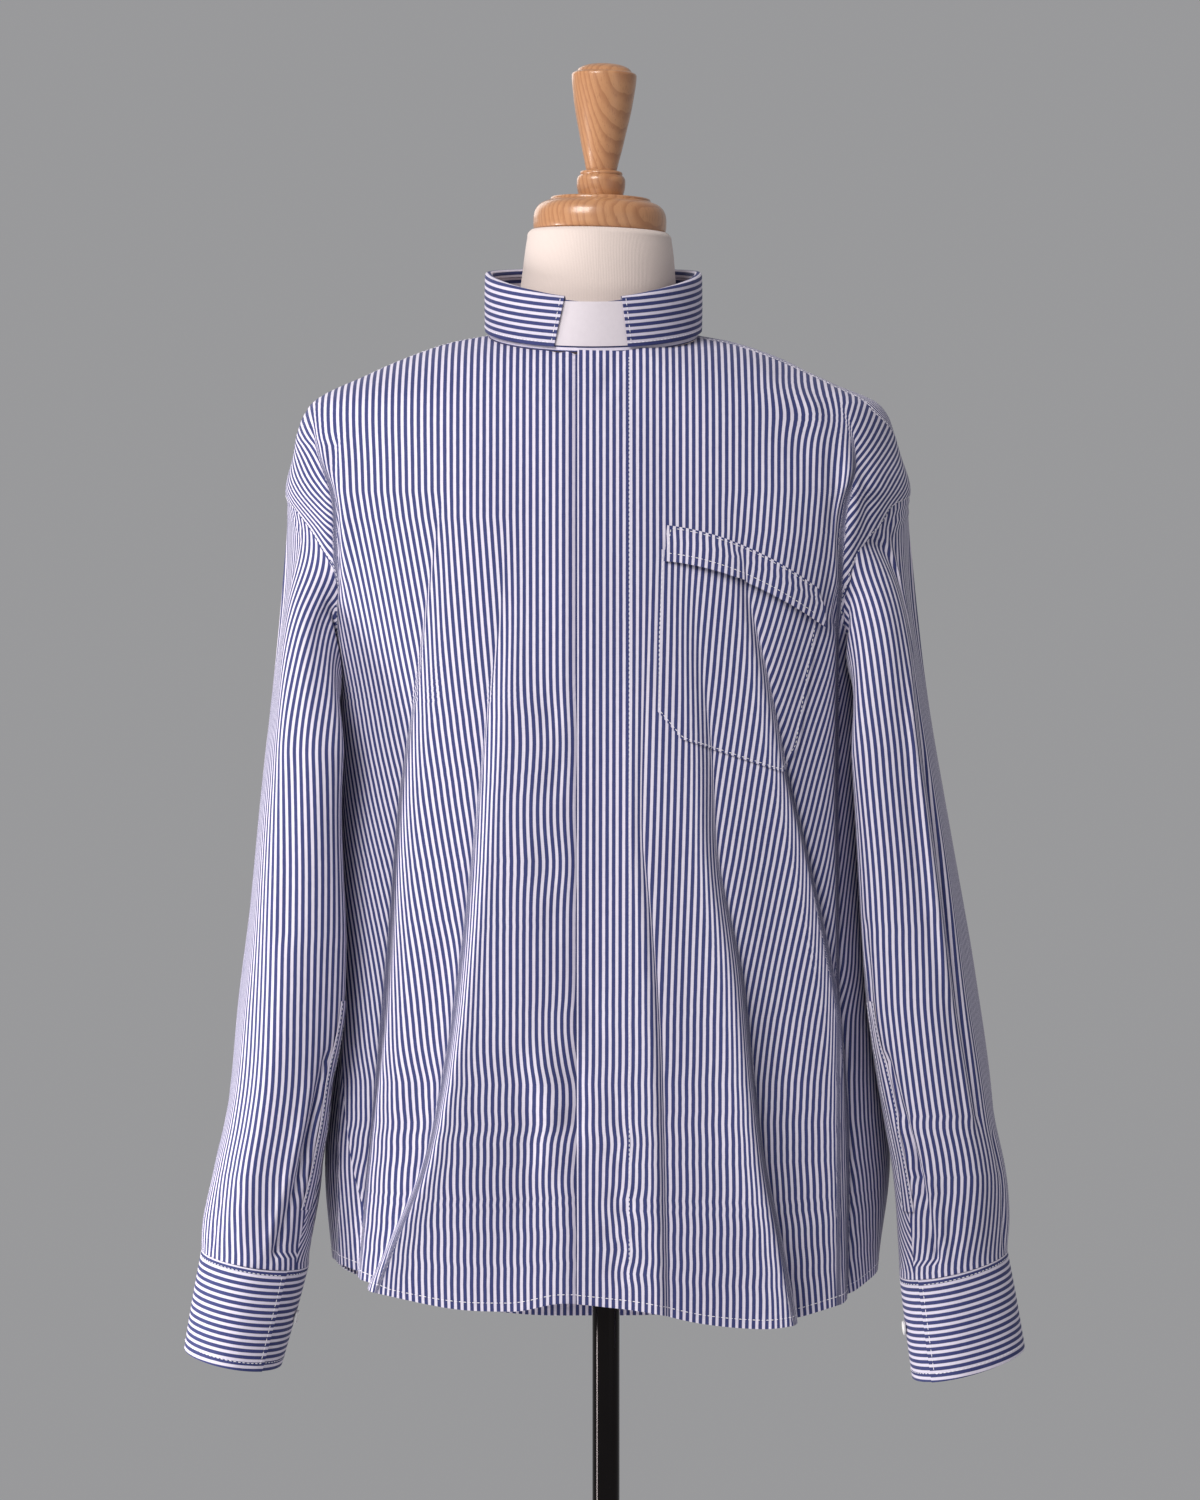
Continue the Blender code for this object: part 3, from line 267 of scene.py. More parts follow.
def shirting(start):
    cloth = cloth_place(start)
    across = cloth.part("X")
    along = cloth.part("Y")
    ragged = cloudy(scaled(cloth, (2400, 160, 1)), 1.0, 1.0)
    place = (across + (ragged - 0.5) * 0.00022) / STRIPE_PITCH
    from_middle = abs(place.fraction() - 0.5) * 2
    dark = 1 - from_middle.rise(DARK_SHARE - STRIPE_EDGE, DARK_SHARE + STRIPE_EDGE)
    # the shade attribute mixes painted shade into the stripes' colour
    shade = start.node("ShaderNodeAttribute", {"attribute_name": "shade"}, {}, "Fac")
    streaks = cloudy(scaled(cloth, (2600, 90, 1)), 1.0, 2.0)
    slubs = cloudy(scaled(cloth, (120, 2600, 1)), 1.0, 2.0)
    tone = (streaks * 0.6 + slubs * 0.4).rise(0.3, 0.72)
    pale = mixed(tone, PALE_SHADE, PALE_YARN)
    navy = mixed(tone, NAVY_YARN, NAVY_WORN)
    weave = (across * (math.tau / THREAD)).wave() * (along * (math.tau / THREAD)).wave()
    soft = cloudy(scaled(cloth, (70, 26, 1)), 1.0, 3.0)
    relief = weave * 0.000018 + streaks * 0.00004 + soft * 0.00042
    return {
        "Base Color": mixed(shade, mixed(dark, pale, navy), IN_SHADE),
        "Roughness": 0.66 + tone * 0.1,
        "Normal": bumped(relief, 0.75),
    }


shirting_finish = new_finish("striped_shirting", {"Sheen Weight": 0.12, "Sheen Roughness": 0.4,
                                                  "Specular IOR Level": 0.3}, shirting)
print("stripes every", STRIPE_PITCH * 1000, "mm")

# %% [markdown]
# ## The body's shape in numbers
# Cloth on a form is easiest to think of as rings, one for each height. Each ring has a centre, a half
# width, a depth to the front and to the back, how square it is, and how far its front tips down. The
# hem, the side seams and the armholes are drawn on those rings as angles: 0 is the front, +90 the
# wearer's left and 180 the back.

# %% Rings, hem and seams
SEAM_GAP = 0.0003
LAYER = 0.0011
ROWS_START = 0.7
HEM_BLEND = 0.82
UNDERARM = 1.17
ARMHOLE_TOP = 1.334
NECKLINE = 1.4535
YOKE_AT_ARMHOLE = 1.322
YOKE_AT_CENTRE_BACK = 1.376
FLY_EDGE = -0.0215
UNDERLAP_EDGE = 0.012
SHOULDER_COLUMNS = ("level", "right", "left")
SHOULDER_SEAMS = (
    (ARMHOLE_TOP, -92, 93),
    (1.371, -92, 90),
    (1.386, -92, 84),
    (1.396, -92, 81),
    (1.4135, -92, 82.5),
    (1.43, -92, 85),
    (NECKLINE, -92, 84),
)

BODY_COLUMNS = ("level", "centre", "half_width", "front", "back", "square", "tilt")
BODY_RINGS = (
    (0.66, 0, 0.206, 0.127, 0.13, 2.2, 0),
    (0.74, 0, 0.21, 0.128, 0.13, 2.2, 0),
    (0.82, 0.001, 0.217, 0.128, 0.129, 2.2, 0),
    (0.9, 0, 0.212, 0.127, 0.127, 2.2, 0),
    (1, -0.002, 0.205, 0.126, 0.124, 2.25, 0),
    (1.1, -0.004, 0.201, 0.126, 0.122, 2.3, 0),
    (1.17, -0.005, 0.2, 0.127, 0.122, 2.3, 0),
    (1.22, -0.006, 0.206, 0.128, 0.123, 2.3, 0),
    (1.268, -0.006, 0.219, 0.127, 0.124, 2.3, 0),
    (1.304, -0.006, 0.2315, 0.124, 0.124, 2.28, 0),
    (1.334, -0.006, 0.2403, 0.1195, 0.122, 2.2, 0),
    (1.362, -0.007, 0.2333, 0.114, 0.118, 2.1, 0),
    (1.38, -0.008, 0.229, 0.1095, 0.114, 2.05, 0.01),
    (1.394, -0.008, 0.2236, 0.1055, 0.11, 2, 0.025),
    (1.403, -0.009, 0.2162, 0.1025, 0.107, 2, 0.04),
    (1.416, -0.013, 0.1896, 0.098, 0.101, 1.98, 0.075),
    (1.425, -0.013, 0.1685, 0.0945, 0.0965, 1.96, 0.105),
    (1.434, -0.011, 0.1489, 0.0905, 0.091, 1.96, 0.14),
    (1.442, -0.01, 0.129, 0.0865, 0.0855, 1.98, 0.175),
    (1.449, -0.0096, 0.106, 0.0815, 0.079, 2, 0.205),
    (1.4535, -0.0096, 0.0805, 0.077, 0.074, 2, 0.226),
)
HEM_COLUMNS = ("angle", "level")
HEM = (
    (-180, 0.688), (-150, 0.69), (-125, 0.702), (-105, 0.728), (-88, 0.746),
    (-74, 0.742), (-60, 0.727), (-45, 0.716), (-30, 0.714), (-14, 0.7205), (0, 0.718),
    (14, 0.714), (30, 0.705), (45, 0.701), (56, 0.708), (68, 0.72), (84, 0.736),
    (96, 0.738), (112, 0.718), (135, 0.696), (160, 0.689), (180, 0.688),
)
SIDE_COLUMNS = ("level", "right", "left")
SIDE_SEAMS = (
    (0.66, -67, 84),
    (0.76, -68, 85),
    (0.9, -76, 88),
    (1.05, -86, 90),
    (UNDERARM, -90, 90),
)
ARMHOLE_COLUMNS = ("level", "right", "left")
ARMHOLE_FRONT = (
    (UNDERARM, -90, 90),
    (1.186, -84, 82),
    (1.212, -78, 74.5),
    (1.24, -75, 70),
    (1.268, -74, 69),
    (1.292, -76, 72),
    (1.31, -79.5, 76.5),
    (1.324, -84.5, 80.5),
    (ARMHOLE_TOP, -92, 93),
)
ARMHOLE_BACK = (
    (UNDERARM, -90, 90),
    (1.192, -99, 99),
    (1.222, -107, 107),
    (1.254, -111, 110),
    (1.284, -111.5, 108.5),
    (1.308, -108.8, 104.5),
    (YOKE_AT_ARMHOLE, -105.4, 100.5),
    (1.327, -102.6, 98.2),
    (1.3303, -99.6, 96.4),
    (1.3326, -96, 94.8),
    (ARMHOLE_TOP, -92, 93),
)

# %% [markdown]
# ## Smooth curves through short tables
# A table gives a size at a few heights. Between them the size has to change smoothly and never swing
# past its neighbours, which is what a monotone cubic does.

# %% Helpers on numbers
def read(columns, rows):
    """The table's columns by name, as arrays."""
    return {name: np.array([row[i] for row in rows], float) for i, name in enumerate(columns)}


def follow(at, xs, ys):
    """A smooth curve through a table's points, with no overshoot between them."""
    xs, ys = np.asarray(xs, float), np.asarray(ys, float)
    order = np.argsort(xs)
    xs, ys = xs[order], ys[order]
    at = np.clip(np.asarray(at, float), xs[0], xs[-1])
    run = np.diff(xs)
    slope = np.diff(ys) / run
    tangent = np.empty_like(ys)
    tangent[1:-1] = (slope[:-1] * run[1:] + slope[1:] * run[:-1]) / (run[:-1] + run[1:])
    tangent[0], tangent[-1] = slope[0], slope[-1]
    flat = slope[:-1] * slope[1:] <= 0
    tangent[1:-1][flat] = 0.0
    k = np.clip(np.searchsorted(xs, at, side="right") - 1, 0, len(run) - 1)
    t = (at - xs[k]) / run[k]
    return (
        ys[k] * (1 + 2 * t) * (1 - t) ** 2
        + tangent[k] * run[k] * t * (1 - t) ** 2
        + ys[k + 1] * t * t * (3 - 2 * t)
        + tangent[k + 1] * run[k] * t * t * (t - 1)
    )


def ease(low, high, at):
    """0 below low, 1 above high, and smooth between them."""
    t = np.clip((np.asarray(at, float) - low) / (high - low), 0, 1)
    return t * t * (3 - 2 * t)


def unit(vectors):
    return vectors / np.maximum(np.linalg.norm(vectors, axis=-1, keepdims=True), 1e-12)


BODY = read(BODY_COLUMNS, BODY_RINGS)
HEM_TABLE = read(HEM_COLUMNS, HEM)
SIDES = read(SIDE_COLUMNS, SIDE_SEAMS)
SHOULDERS = read(SHOULDER_COLUMNS, SHOULDER_SEAMS)

# %% [markdown]
# ## The main folds
# The shirt is wider than the form, so its spare cloth drops from the chest in long folds that open
# towards the hem. Each one is a step that faces away from the middle: the cloth stands forward on its
# inner side and falls back over a few centimetres. A fold also hides cloth: some is drawn together
# beside its line and some is tucked away at it. The last table says how much, by level, and the stripes
# move by that much. A deep tuck also gets painted shade in its colour, because little light gets in.

# %% Folds
FOLD_PATHS = {
    # name: (level, x) from its top to the hem
    "right_main": ((1.31, -0.07), (1.239, -0.0734), (1.172, -0.0824), (1.077, -0.0922), (0.972, -0.1041),
                   (0.888, -0.1169), (0.814, -0.1334), (0.766, -0.1528), (0.71, -0.174)),
    "right_side": ((1.33, -0.118), (1.247, -0.1304), (1.182, -0.1386), (1.107, -0.15), (1, -0.159),
                   (0.888, -0.169), (0.814, -0.176), (0.73, -0.183)),
    "right_shoulder": ((1.404, -0.222), (1.366, -0.2185), (1.327, -0.2055), (1.29, -0.204),
                       (1.262, -0.203)),
    "left_shoulder": ((1.402, 0.176), (1.38, 0.183), (1.352, 0.186), (1.325, 0.18), (1.295, 0.176),
                      (1.262, 0.175), (1.225, 0.173)),
    "left_fly": ((1.32, 0.036), (1.199, 0.027), (1.083, 0.0232), (1.01, 0.03), (0.924, 0.0367),
                 (0.874, 0.039), (0.774, 0.042), (0.7, 0.0435)),
    "left_main": ((1.3, 0.056), (1.217, 0.0629), (1.128, 0.0742), (1.058, 0.0779), (0.962, 0.0974),
                  (0.888, 0.1056), (0.814, 0.1154), (0.782, 0.1221), (0.7, 0.137)),
    "left_side": ((1.33, 0.088), (1.255, 0.1019), (1.195, 0.1161), (1.123, 0.1311), (1.06, 0.147),
                  (1, 0.16), (0.93, 0.173), (0.7, 0.18)),
    "back_right": ((1.33, -0.066), (1.15, -0.078), (0.95, -0.094), (0.67, -0.122)),
    "back_right_side": ((1.3, -0.126), (1.15, -0.138), (0.95, -0.152), (0.67, -0.168)),
    "back_left": ((1.34, 0.052), (1.15, 0.058), (0.95, 0.07), (0.67, 0.092)),
    "back_left_side": ((1.31, 0.112), (1.15, 0.126), (0.95, 0.144), (0.67, 0.162)),
}
FOLDS = (  # name, face, where it starts and is full, depth, width of its step, how far it fades inwards
    ("right_main", "front", 1.3, 0.78, 0.023, 0.018, 0.07),
    ("right_side", "front", 1.3, 0.8, 0.012, 0.014, 0.034),
    ("right_shoulder", "front", 1.4, 1.32, 0.004, 0.006, 0.018),
    ("left_shoulder", "front", 1.4, 1.32, 0.004, 0.008, 0.018),
    ("left_fly", "front", 1.26, 0.8, 0.006, 0.009, 0.026),
    ("left_main", "front", 1.29, 0.78, 0.024, 0.016, 0.055),
    ("left_side", "front", 1.31, 1.1, 0.01, 0.011, 0.032),
    ("back_right", "back", 1.32, 0.75, 0.02, 0.022, 0.06),
    ("back_right_side", "back", 1.29, 0.8, 0.012, 0.016, 0.034),
    ("back_left", "back", 1.33, 0.75, 0.018, 0.02, 0.055),
    ("back_left_side", "back", 1.3, 0.8, 0.014, 0.017, 0.036),
)
FOLDS_FACE = (0.02, 0.3)  # folds grow between these cosines of the angle from the front, or the back
STORED_COLUMNS = ("level", "drawn", "tucked")
STORED = {  # metres of cloth that a fold draws together beside its line, and tucks away at the line
    "right_main": ((1.31, 0, 0), (1.2, 0.005, 0.003), (1.1, 0.008, 0.01), (0.95, 0.01, 0.024),
                   (0.84, 0.01, 0.028), (0.7, 0.006, 0.014)),
    "right_side": ((1.33, 0, 0), (1.15, 0.008, 0.01), (1, 0.01, 0.024), (0.88, 0.01, 0.028),
                   (0.72, 0.004, 0.01)),
    "right_shoulder": ((1.404, 0, 0), (1.38, 0.003, 0.003), (1.34, 0.005, 0.02),
                       (1.3, 0.005, 0.044), (1.262, 0.004, 0.066)),
    "left_shoulder": ((1.402, 0, 0), (1.375, 0.003, 0.007), (1.34, 0.005, 0.025),
                      (1.3, 0.005, 0.047), (1.262, 0.004, 0.068)),
    "left_fly": ((1.28, 0, 0), (1.1, 0.003, 0.001), (0.9, 0.005, 0.002), (0.7, 0.004, 0.001)),
    "left_main": ((1.3, 0, 0), (1.2, 0.006, 0), (1.1, 0.008, 0.006), (0.95, 0.009, 0.019),
                  (0.84, 0.009, 0.022), (0.7, 0.006, 0.012)),
    "left_side": ((1.33, 0, 0), (1.262, 0.004, 0), (1.15, 0.009, 0.014), (1, 0.01, 0.034),
                  (0.88, 0.01, 0.038), (0.7, 0.006, 0.014)),
    "back_right": ((1.33, 0, 0), (0.95, 0.01, 0.01), (0.67, 0.006, 0.006)),
    "back_right_side": ((1.3, 0, 0), (0.95, 0.008, 0.004), (0.67, 0.005, 0.003)),
    "back_left": ((1.34, 0, 0), (0.95, 0.01, 0.008), (0.67, 0.006, 0.006)),
    "back_left_side": ((1.31, 0, 0), (0.95, 0.008, 0.006), (0.67, 0.005, 0.003)),
}
RELAX = {"right_shoulder": 0.15, "left_shoulder": 0.15}  # stripes that lean far lie closer, seen across
TUCK_AT = 0.3  # the tuck is at this share of the step's width, outside its middle
RELAX_FULL = 0.02  # where the tuck hides this much
DRAWN_OVER = (-0.9, 0.7)  # cloth is drawn together over these shares of the step's width
TUCK = 0.0013
TUCK_DEPTH = 0.0024
TUCK_HALF = 0.0028  # half-width of its groove
FULL_FOLD = 0.01  # folds less deep than this have shallower tucks
SHADE = 0.75  # how dark the painted shade in the deepest tuck is
SHADE_HALF = 0.0022
SHADE_GROWS = (0.001, 0.022)  # with the cloth that the tuck hides


def beside_fold(name, x, level):
    """How far a place is from the fold's line, towards the middle of the cloth."""
    path = np.array(FOLD_PATHS[name])
    line = follow(level, path[:, 0], path[:, 1])
    return (np.asarray(x) - line) * -np.sign(path[0, 1])


def fold_lift(x, level, toward_front):
    """How far the folds raise the cloth at a place of the front view, or of the back view."""
    lift = np.zeros(np.broadcast(x, level).shape)
    for name, face, starts, full, depth, step, fade in FOLDS:
        inward = beside_fold(name, x, level)
        grown = ease(starts, full, level)
        shape = ease(-step / 2, step / 2, inward) * np.exp(-np.maximum(inward - step / 2, 0) / fade)
        groove = np.exp(-(((inward + TUCK_AT * step) / TUCK_HALF) ** 2))
        shape = shape - TUCK_DEPTH * min(1, depth / FULL_FOLD) / depth * groove
        on_face = ease(*FOLDS_FACE, toward_front if face == "front" else -toward_front)
        lift = lift + depth * grown * shape * on_face
    return lift


def fold_shade(x, level, face):
    """The painted shade along each tuck's line, by the cloth that it hides."""
    shade = np.zeros(np.broadcast(x, level).shape)
    for name, side, _, _, _, step, _ in FOLDS:
        if side == face:
            amount = read(STORED_COLUMNS, STORED[name])
            deep = ease(*SHADE_GROWS, follow(level, amount["level"], amount["tucked"]))
            tuck = beside_fold(name, x, level) + TUCK_AT * step
            shade = np.maximum(shade, SHADE * deep * np.exp(-((tuck / SHADE_HALF) ** 2)))
    return shade


def stored_cloth(x, level, face):
    """How much cloth the folds between here and the middle hide."""
    hidden = np.zeros(np.broadcast(x, level).shape)
    for name, side, _, _, _, step, _ in FOLDS:
        if side != face:
            continue
        amount = read(STORED_COLUMNS, STORED[name])
        outward = -beside_fold(name, x, level)
        drawn, tucked = (follow(level, amount["level"], amount[part]) for part in ("drawn", "tucked"))
        tuck = outward - TUCK_AT * step
        drawn_from, drawn_to = (share * step for share in DRAWN_OVER)
        hidden = hidden + drawn * ease(drawn_from, drawn_to, outward) + tucked * ease(-TUCK, TUCK, tuck)
        hidden = hidden - RELAX.get(name, 0.0) * np.maximum(tuck, 0) * ease(0, RELAX_FULL, tucked)
    return hidden


print(len(FOLDS), "long folds")

# %% [markdown]
# ## Small creases
# Between the long folds the cloth pulls at the collar, puckers where it is buttoned under the fly and
# dimples at the shoulders. These are laid one by one, each a soft trough or ridge along a short line,
# with uneven depth. The last table does the same for the back, which is guessed from how such shirts hang.

# %% Creases
FRONT_CREASES = (  # path as (x, z) in the front view, half width, height; a negative height is a trough
    (((-0.0376, 1.444), (-0.033, 1.428), (-0.027, 1.415)), 0.0055, -0.0022),
    (((-0.03, 1.44), (-0.024, 1.419)), 0.005, 0.0014),
    (((0.014, 1.444), (0.007, 1.425), (-0.001, 1.406)), 0.0055, -0.0024),
    (((0.023, 1.44), (0.019, 1.416), (0.015, 1.396)), 0.005, -0.0012),
    (((0.035, 1.442), (0.033, 1.42)), 0.0045, -0.0013),
    (((0.048, 1.444), (0.048, 1.425)), 0.0045, -0.001),
    (((0.061, 1.445), (0.065, 1.43)), 0.0045, -0.0009),
    (((-0.056, 1.446), (-0.058, 1.433)), 0.005, -0.0008),
    (((0.131, 1.423), (0.143, 1.404), (0.15, 1.382), (0.146, 1.36)), 0.006, -0.0017),
    (((0.147, 1.413), (0.158, 1.396), (0.164, 1.378), (0.16, 1.356)), 0.006, 0.0014),
    (((0.162, 1.406), (0.17, 1.39), (0.173, 1.37)), 0.005, -0.0014),
    (((0.179, 1.412), (0.174, 1.395)), 0.004, -0.001),
    (((0.174, 1.35), (0.1755, 1.32), (0.1735, 1.29), (0.1725, 1.26), (0.173, 1.235)),
     0.0075, -0.0046),
    (((0.185, 1.356), (0.188, 1.322), (0.186, 1.29), (0.183, 1.262)), 0.0065, 0.0034),
    (((0.196, 1.34), (0.199, 1.315), (0.196, 1.286)), 0.005, -0.0014),
    (((-0.208, 1.368), (-0.2075, 1.33), (-0.2065, 1.295), (-0.206, 1.256)), 0.005, -0.005),
    (((-0.199, 1.37), (-0.1985, 1.32), (-0.198, 1.27)), 0.006, 0.0026),
    (((-0.224, 1.365), (-0.22, 1.34), (-0.213, 1.315)), 0.005, -0.0014),
    (((-0.04, 1.17), (-0.042, 1.16)), 0.008, -0.0016),
    (((-0.035, 1.123), (-0.039, 1.11)), 0.0085, -0.0018),
    (((-0.046, 1.056), (-0.044, 1.044)), 0.0085, -0.0018),
    (((-0.038, 1.014), (-0.04, 1.004)), 0.008, -0.0016),
    (((-0.03, 0.9), (-0.026, 0.876), (-0.028, 0.852)), 0.0095, -0.0046),
    (((-0.05, 0.894), (-0.04, 0.864), (-0.044, 0.83)), 0.011, 0.0032),
    (((-0.064, 0.9), (-0.056, 0.85), (-0.06, 0.79)), 0.012, -0.0018),
    (((0.006, 0.87), (0.013, 0.856)), 0.005, -0.0016),
    (((0.004, 0.835), (0.013, 0.824)), 0.005, -0.0016),
    (((0.006, 0.801), (0.015, 0.79)), 0.005, -0.0022),
    (((0.002, 0.773), (0.012, 0.764)), 0.005, -0.0022),
    (((0.005, 0.748), (0.013, 0.742)), 0.005, -0.002),
    (((-0.014, 0.95), (-0.01, 0.93)), 0.007, -0.0012),
    (((-0.12, 0.99), (-0.13, 0.91), (-0.145, 0.84)), 0.012, -0.002),
    (((0.06, 1.05), (0.068, 0.96), (0.076, 0.88), (0.08, 0.8)), 0.013, -0.0018),
    (((0.126, 0.93), (0.133, 0.86), (0.145, 0.79)), 0.012, -0.002),
)
BACK_CREASES = (
    (((-0.175, 1.305), (-0.14, 1.265), (-0.115, 1.22)), 0.012, -0.003),
    (((0.17, 1.3), (0.138, 1.256), (0.118, 1.21)), 0.012, -0.003),
    (((-0.012, 1.34), (-0.016, 1.22), (-0.012, 1.1)), 0.016, -0.003),
    (((0.022, 1.18), (0.018, 1), (0.026, 0.85)), 0.016, -0.0034),
    (((-0.118, 1.08), (-0.122, 0.95), (-0.135, 0.82)), 0.014, -0.0026),
    (((0.102, 1.12), (0.108, 0.98), (0.118, 0.82)), 0.014, -0.003),
    (((-0.18, 1.23), (-0.166, 1.15)), 0.011, -0.002),
    (((0.178, 1.22), (0.164, 1.14)), 0.011, -0.002),
)
SWAY = (  # slow unevenness: waves per metre across and up, and their height
    (7, 1.6, 0.00055), (11.5, -2.3, 0.00042), (4, 3.4, 0.0005),
    (17, 1.1, 0.00022), (9, 5.2, 0.00026),
)


def crease_height(x, z, creases):
    """Sum of the soft troughs and ridges at places of a view."""
    height = np.zeros(np.broadcast(x, z).shape)
    for path, half, size in creases:
        knots = np.array(path)
        nearest = np.full(height.shape, 9.0)
        along = np.zeros(height.shape)
        for i, (a, b) in enumerate(zip(knots, knots[1:])):
            run = b - a
            t = np.clip(((x - a[0]) * run[0] + (z - a[1]) * run[1]) / (run @ run), 0, 1)
            away = np.hypot(x - a[0] - t * run[0], z - a[1] - t * run[1])
            along = np.where(away < nearest, (i + t) / (len(knots) - 1), along)
            nearest = np.minimum(nearest, away)
        uneven = 0.72 + 0.28 * np.sin(9.0 * along + 40.0 * half * knots[0, 0] / 0.01)
        height = height + size * uneven * np.exp(-((nearest / half) ** 2))
    return height


def sway_height(x, z):
    """Slow waves that keep large areas from looking ironed."""
    return sum(size * np.sin(math.tau * (across * x + up * z) + 5 * i)
               for i, (across, up, size) in enumerate(SWAY))


print(len(FRONT_CREASES) + len(BACK_CREASES), "creases laid by hand")

# %% [markdown]
# ## A point on the cloth
# Every panel asks the same two questions: where is the cloth at this angle and level, and which way
# does it face? The fold heights are added along the ring's own outward direction, and the creases
# after that.

# %% The body's surface
NORMAL_TURN = 0.4
NORMAL_RISE = 0.0012
TILT_BEHIND = 0.5


def ring_sizes(level, rings):
    return [follow(level, rings["level"], rings[name]) for name in BODY_COLUMNS[1:]]


def ring_point(angle, level, rings, lift=None):
    """A place on the ring at this level, at an angle in degrees, raised by lift(x, toward_front)."""
    angle, level = np.broadcast_arrays(np.radians(angle), np.asarray(level, float))
    centre, wide, front, back, square, tilt = ring_sizes(level, rings)
    across, toward_front = np.sin(angle), np.cos(angle)
    deep = np.where(toward_front > 0, front, back)
    reach = ((np.abs(across) / wide) ** square + (np.abs(toward_front) / deep) ** square) ** (-1 / square)
    x, y = reach * across, -reach * toward_front
    if lift:
        out_x = np.sign(x) * (np.abs(x) / wide) ** (square - 1) / wide
        out_y = np.sign(y) * (np.abs(y) / deep) ** (square - 1) / deep
        raised = lift(centre + x, toward_front) / np.hypot(out_x, out_y)
        x, y = x + raised * out_x, y + raised * out_y
    z = level + tilt * y * np.where(y > 0, TILT_BEHIND, 1.0)
    return np.stack([centre + x, y, z], axis=-1)


def smooth_body(angle, level):
    """The shirt's outer face with its long folds alone."""
    return ring_point(angle, level, BODY, lambda x, front: fold_lift(x, level, front))


def body_normal(angle, level):
    """The outward direction of that face."""
    level = np.minimum(level, NECKLINE - NORMAL_RISE)
    round_it = smooth_body(angle + NORMAL_TURN, level) - smooth_body(angle - NORMAL_TURN, level)
    up_it = smooth_body(angle, level + NORMAL_RISE) - smooth_body(angle, level - NORMAL_RISE)
    return unit(np.cross(round_it, up_it))


def creased(points, normals):
    """The points with their small creases, which fade out near the neck and the seams' own edges."""
    x, z = points[..., 0], points[..., 2]
    in_front = ease(-0.2, 0.2, -normals[..., 1])
    height = crease_height(x, z, FRONT_CREASES) * in_front
    height = height + crease_height(x, z, BACK_CREASES) * (1 - in_front)
    height = height + sway_height(x + points[..., 1], z)
    return points + normals * (height * ease(NECKLINE, NECKLINE - 0.03, z))[..., None]


def angle_at(x, level):
    """The angle of the front's point with this x."""
    centre, wide, front, _, square, _ = ring_sizes(level, BODY)
    share = np.clip(np.abs(x - centre) / wide, 0, 0.999)
    return np.degrees(np.arctan2(x - centre, front * (1 - share**square) ** (1 / square)))


def hem_level(angle):
    return follow((np.asarray(angle) + 180) % 360 - 180, HEM_TABLE["angle"], HEM_TABLE["level"])


def at_hem(level, angle):
    """The level of a point in a row: the lowest rows follow the hem and soon become level."""
    hem = hem_level(angle)
    share = (level - ROWS_START) / (HEM_BLEND - ROWS_START)
    return np.where(level < HEM_BLEND, hem + (HEM_BLEND - hem) * share, level)


print("the hem's lowest point is at", round(float(hem_level(np.arange(-180, 180)).min()), 3), "m")

# %% [markdown]
# ## From a grid to a piece of cloth
# Each piece begins as a flat grid, as cloth begins flat. Its points are laid on the shirt, its UV map
# takes the distances measured across and along the cloth, and Solidify gives it a thread's thickness on
# the inside. Edges that are turned and sewn get a little more.

# %% Making a piece
EDGE_THICK = 0.0012  # at turned edges
PLAIN_SHARE = 0.55  # elsewhere the cloth is this share of it
SHARP = math.radians(50)


def facing(points, axis):
    """Outward normals of a grid of points, and whether the grid's own faces point inwards."""
    normals = unit(np.cross(np.gradient(points, axis=1), np.gradient(points, axis=0)))
    turned = ((points - axis) * normals).sum() < 0
    return (-normals if turned else normals), turned


def finished(name, bm, finish, nodes=(), sharp=SHARP):
    """Makes the mesh an object that rides on the form and stands for its solids."""
    mesh = bpy.data.meshes.new(name)
    bm.to_mesh(mesh)
    bm.free()
    mesh.shade_smooth()
    mesh.set_sharp_from_angle(angle=sharp)
    mesh.materials.append(finish)
    piece = bpy.data.objects.new(name, mesh)
    bpy.context.scene.collection.objects.link(piece)
    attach(piece, "root")
    if nodes:
        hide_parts(*nodes)
    return piece


def walled(piece, thickness, group=None):
    """Gives a thin piece its thickness on the inside, as a plain mesh with sharp rims."""
    wall = piece.modifiers.new("wall", "SOLIDIFY")
    wall.thickness = thickness
    wall.offset = -1
    wall.use_rim = True
    if group:
        wall.vertex_group = group
        wall.thickness_vertex_group = 0.0
    bpy.context.view_layer.update()
    made = bpy.data.meshes.new_from_object(piece.evaluated_get(bpy.context.evaluated_depsgraph_get()))
    piece.modifiers.clear()
    old, piece.data = piece.data, made
    bpy.data.meshes.remove(old)
    piece.vertex_groups.clear()
    made.name = piece.name
    made.set_sharp_from_angle(angle=SHARP)
    return piece


def grid_mesh(points, across, along):
    """A mesh over a grid of points, whose UV map takes two grids of distances."""
    rows, cols = points.shape[:2]
    bm = bmesh.new()
    bmesh.ops.create_grid(bm, x_segments=cols - 1, y_segments=rows - 1, size=0.5)
    for vert, place in zip(bm.verts, points.reshape(-1, 3)):
        vert.co = place
    cloth = bm.loops.layers.uv.new("cloth")
    spread = np.stack([across, along], axis=-1).reshape(-1, 2)
    for face in bm.faces:
        for loop in face.loops:
            loop[cloth].uv = spread[loop.vert.index]
    return bm


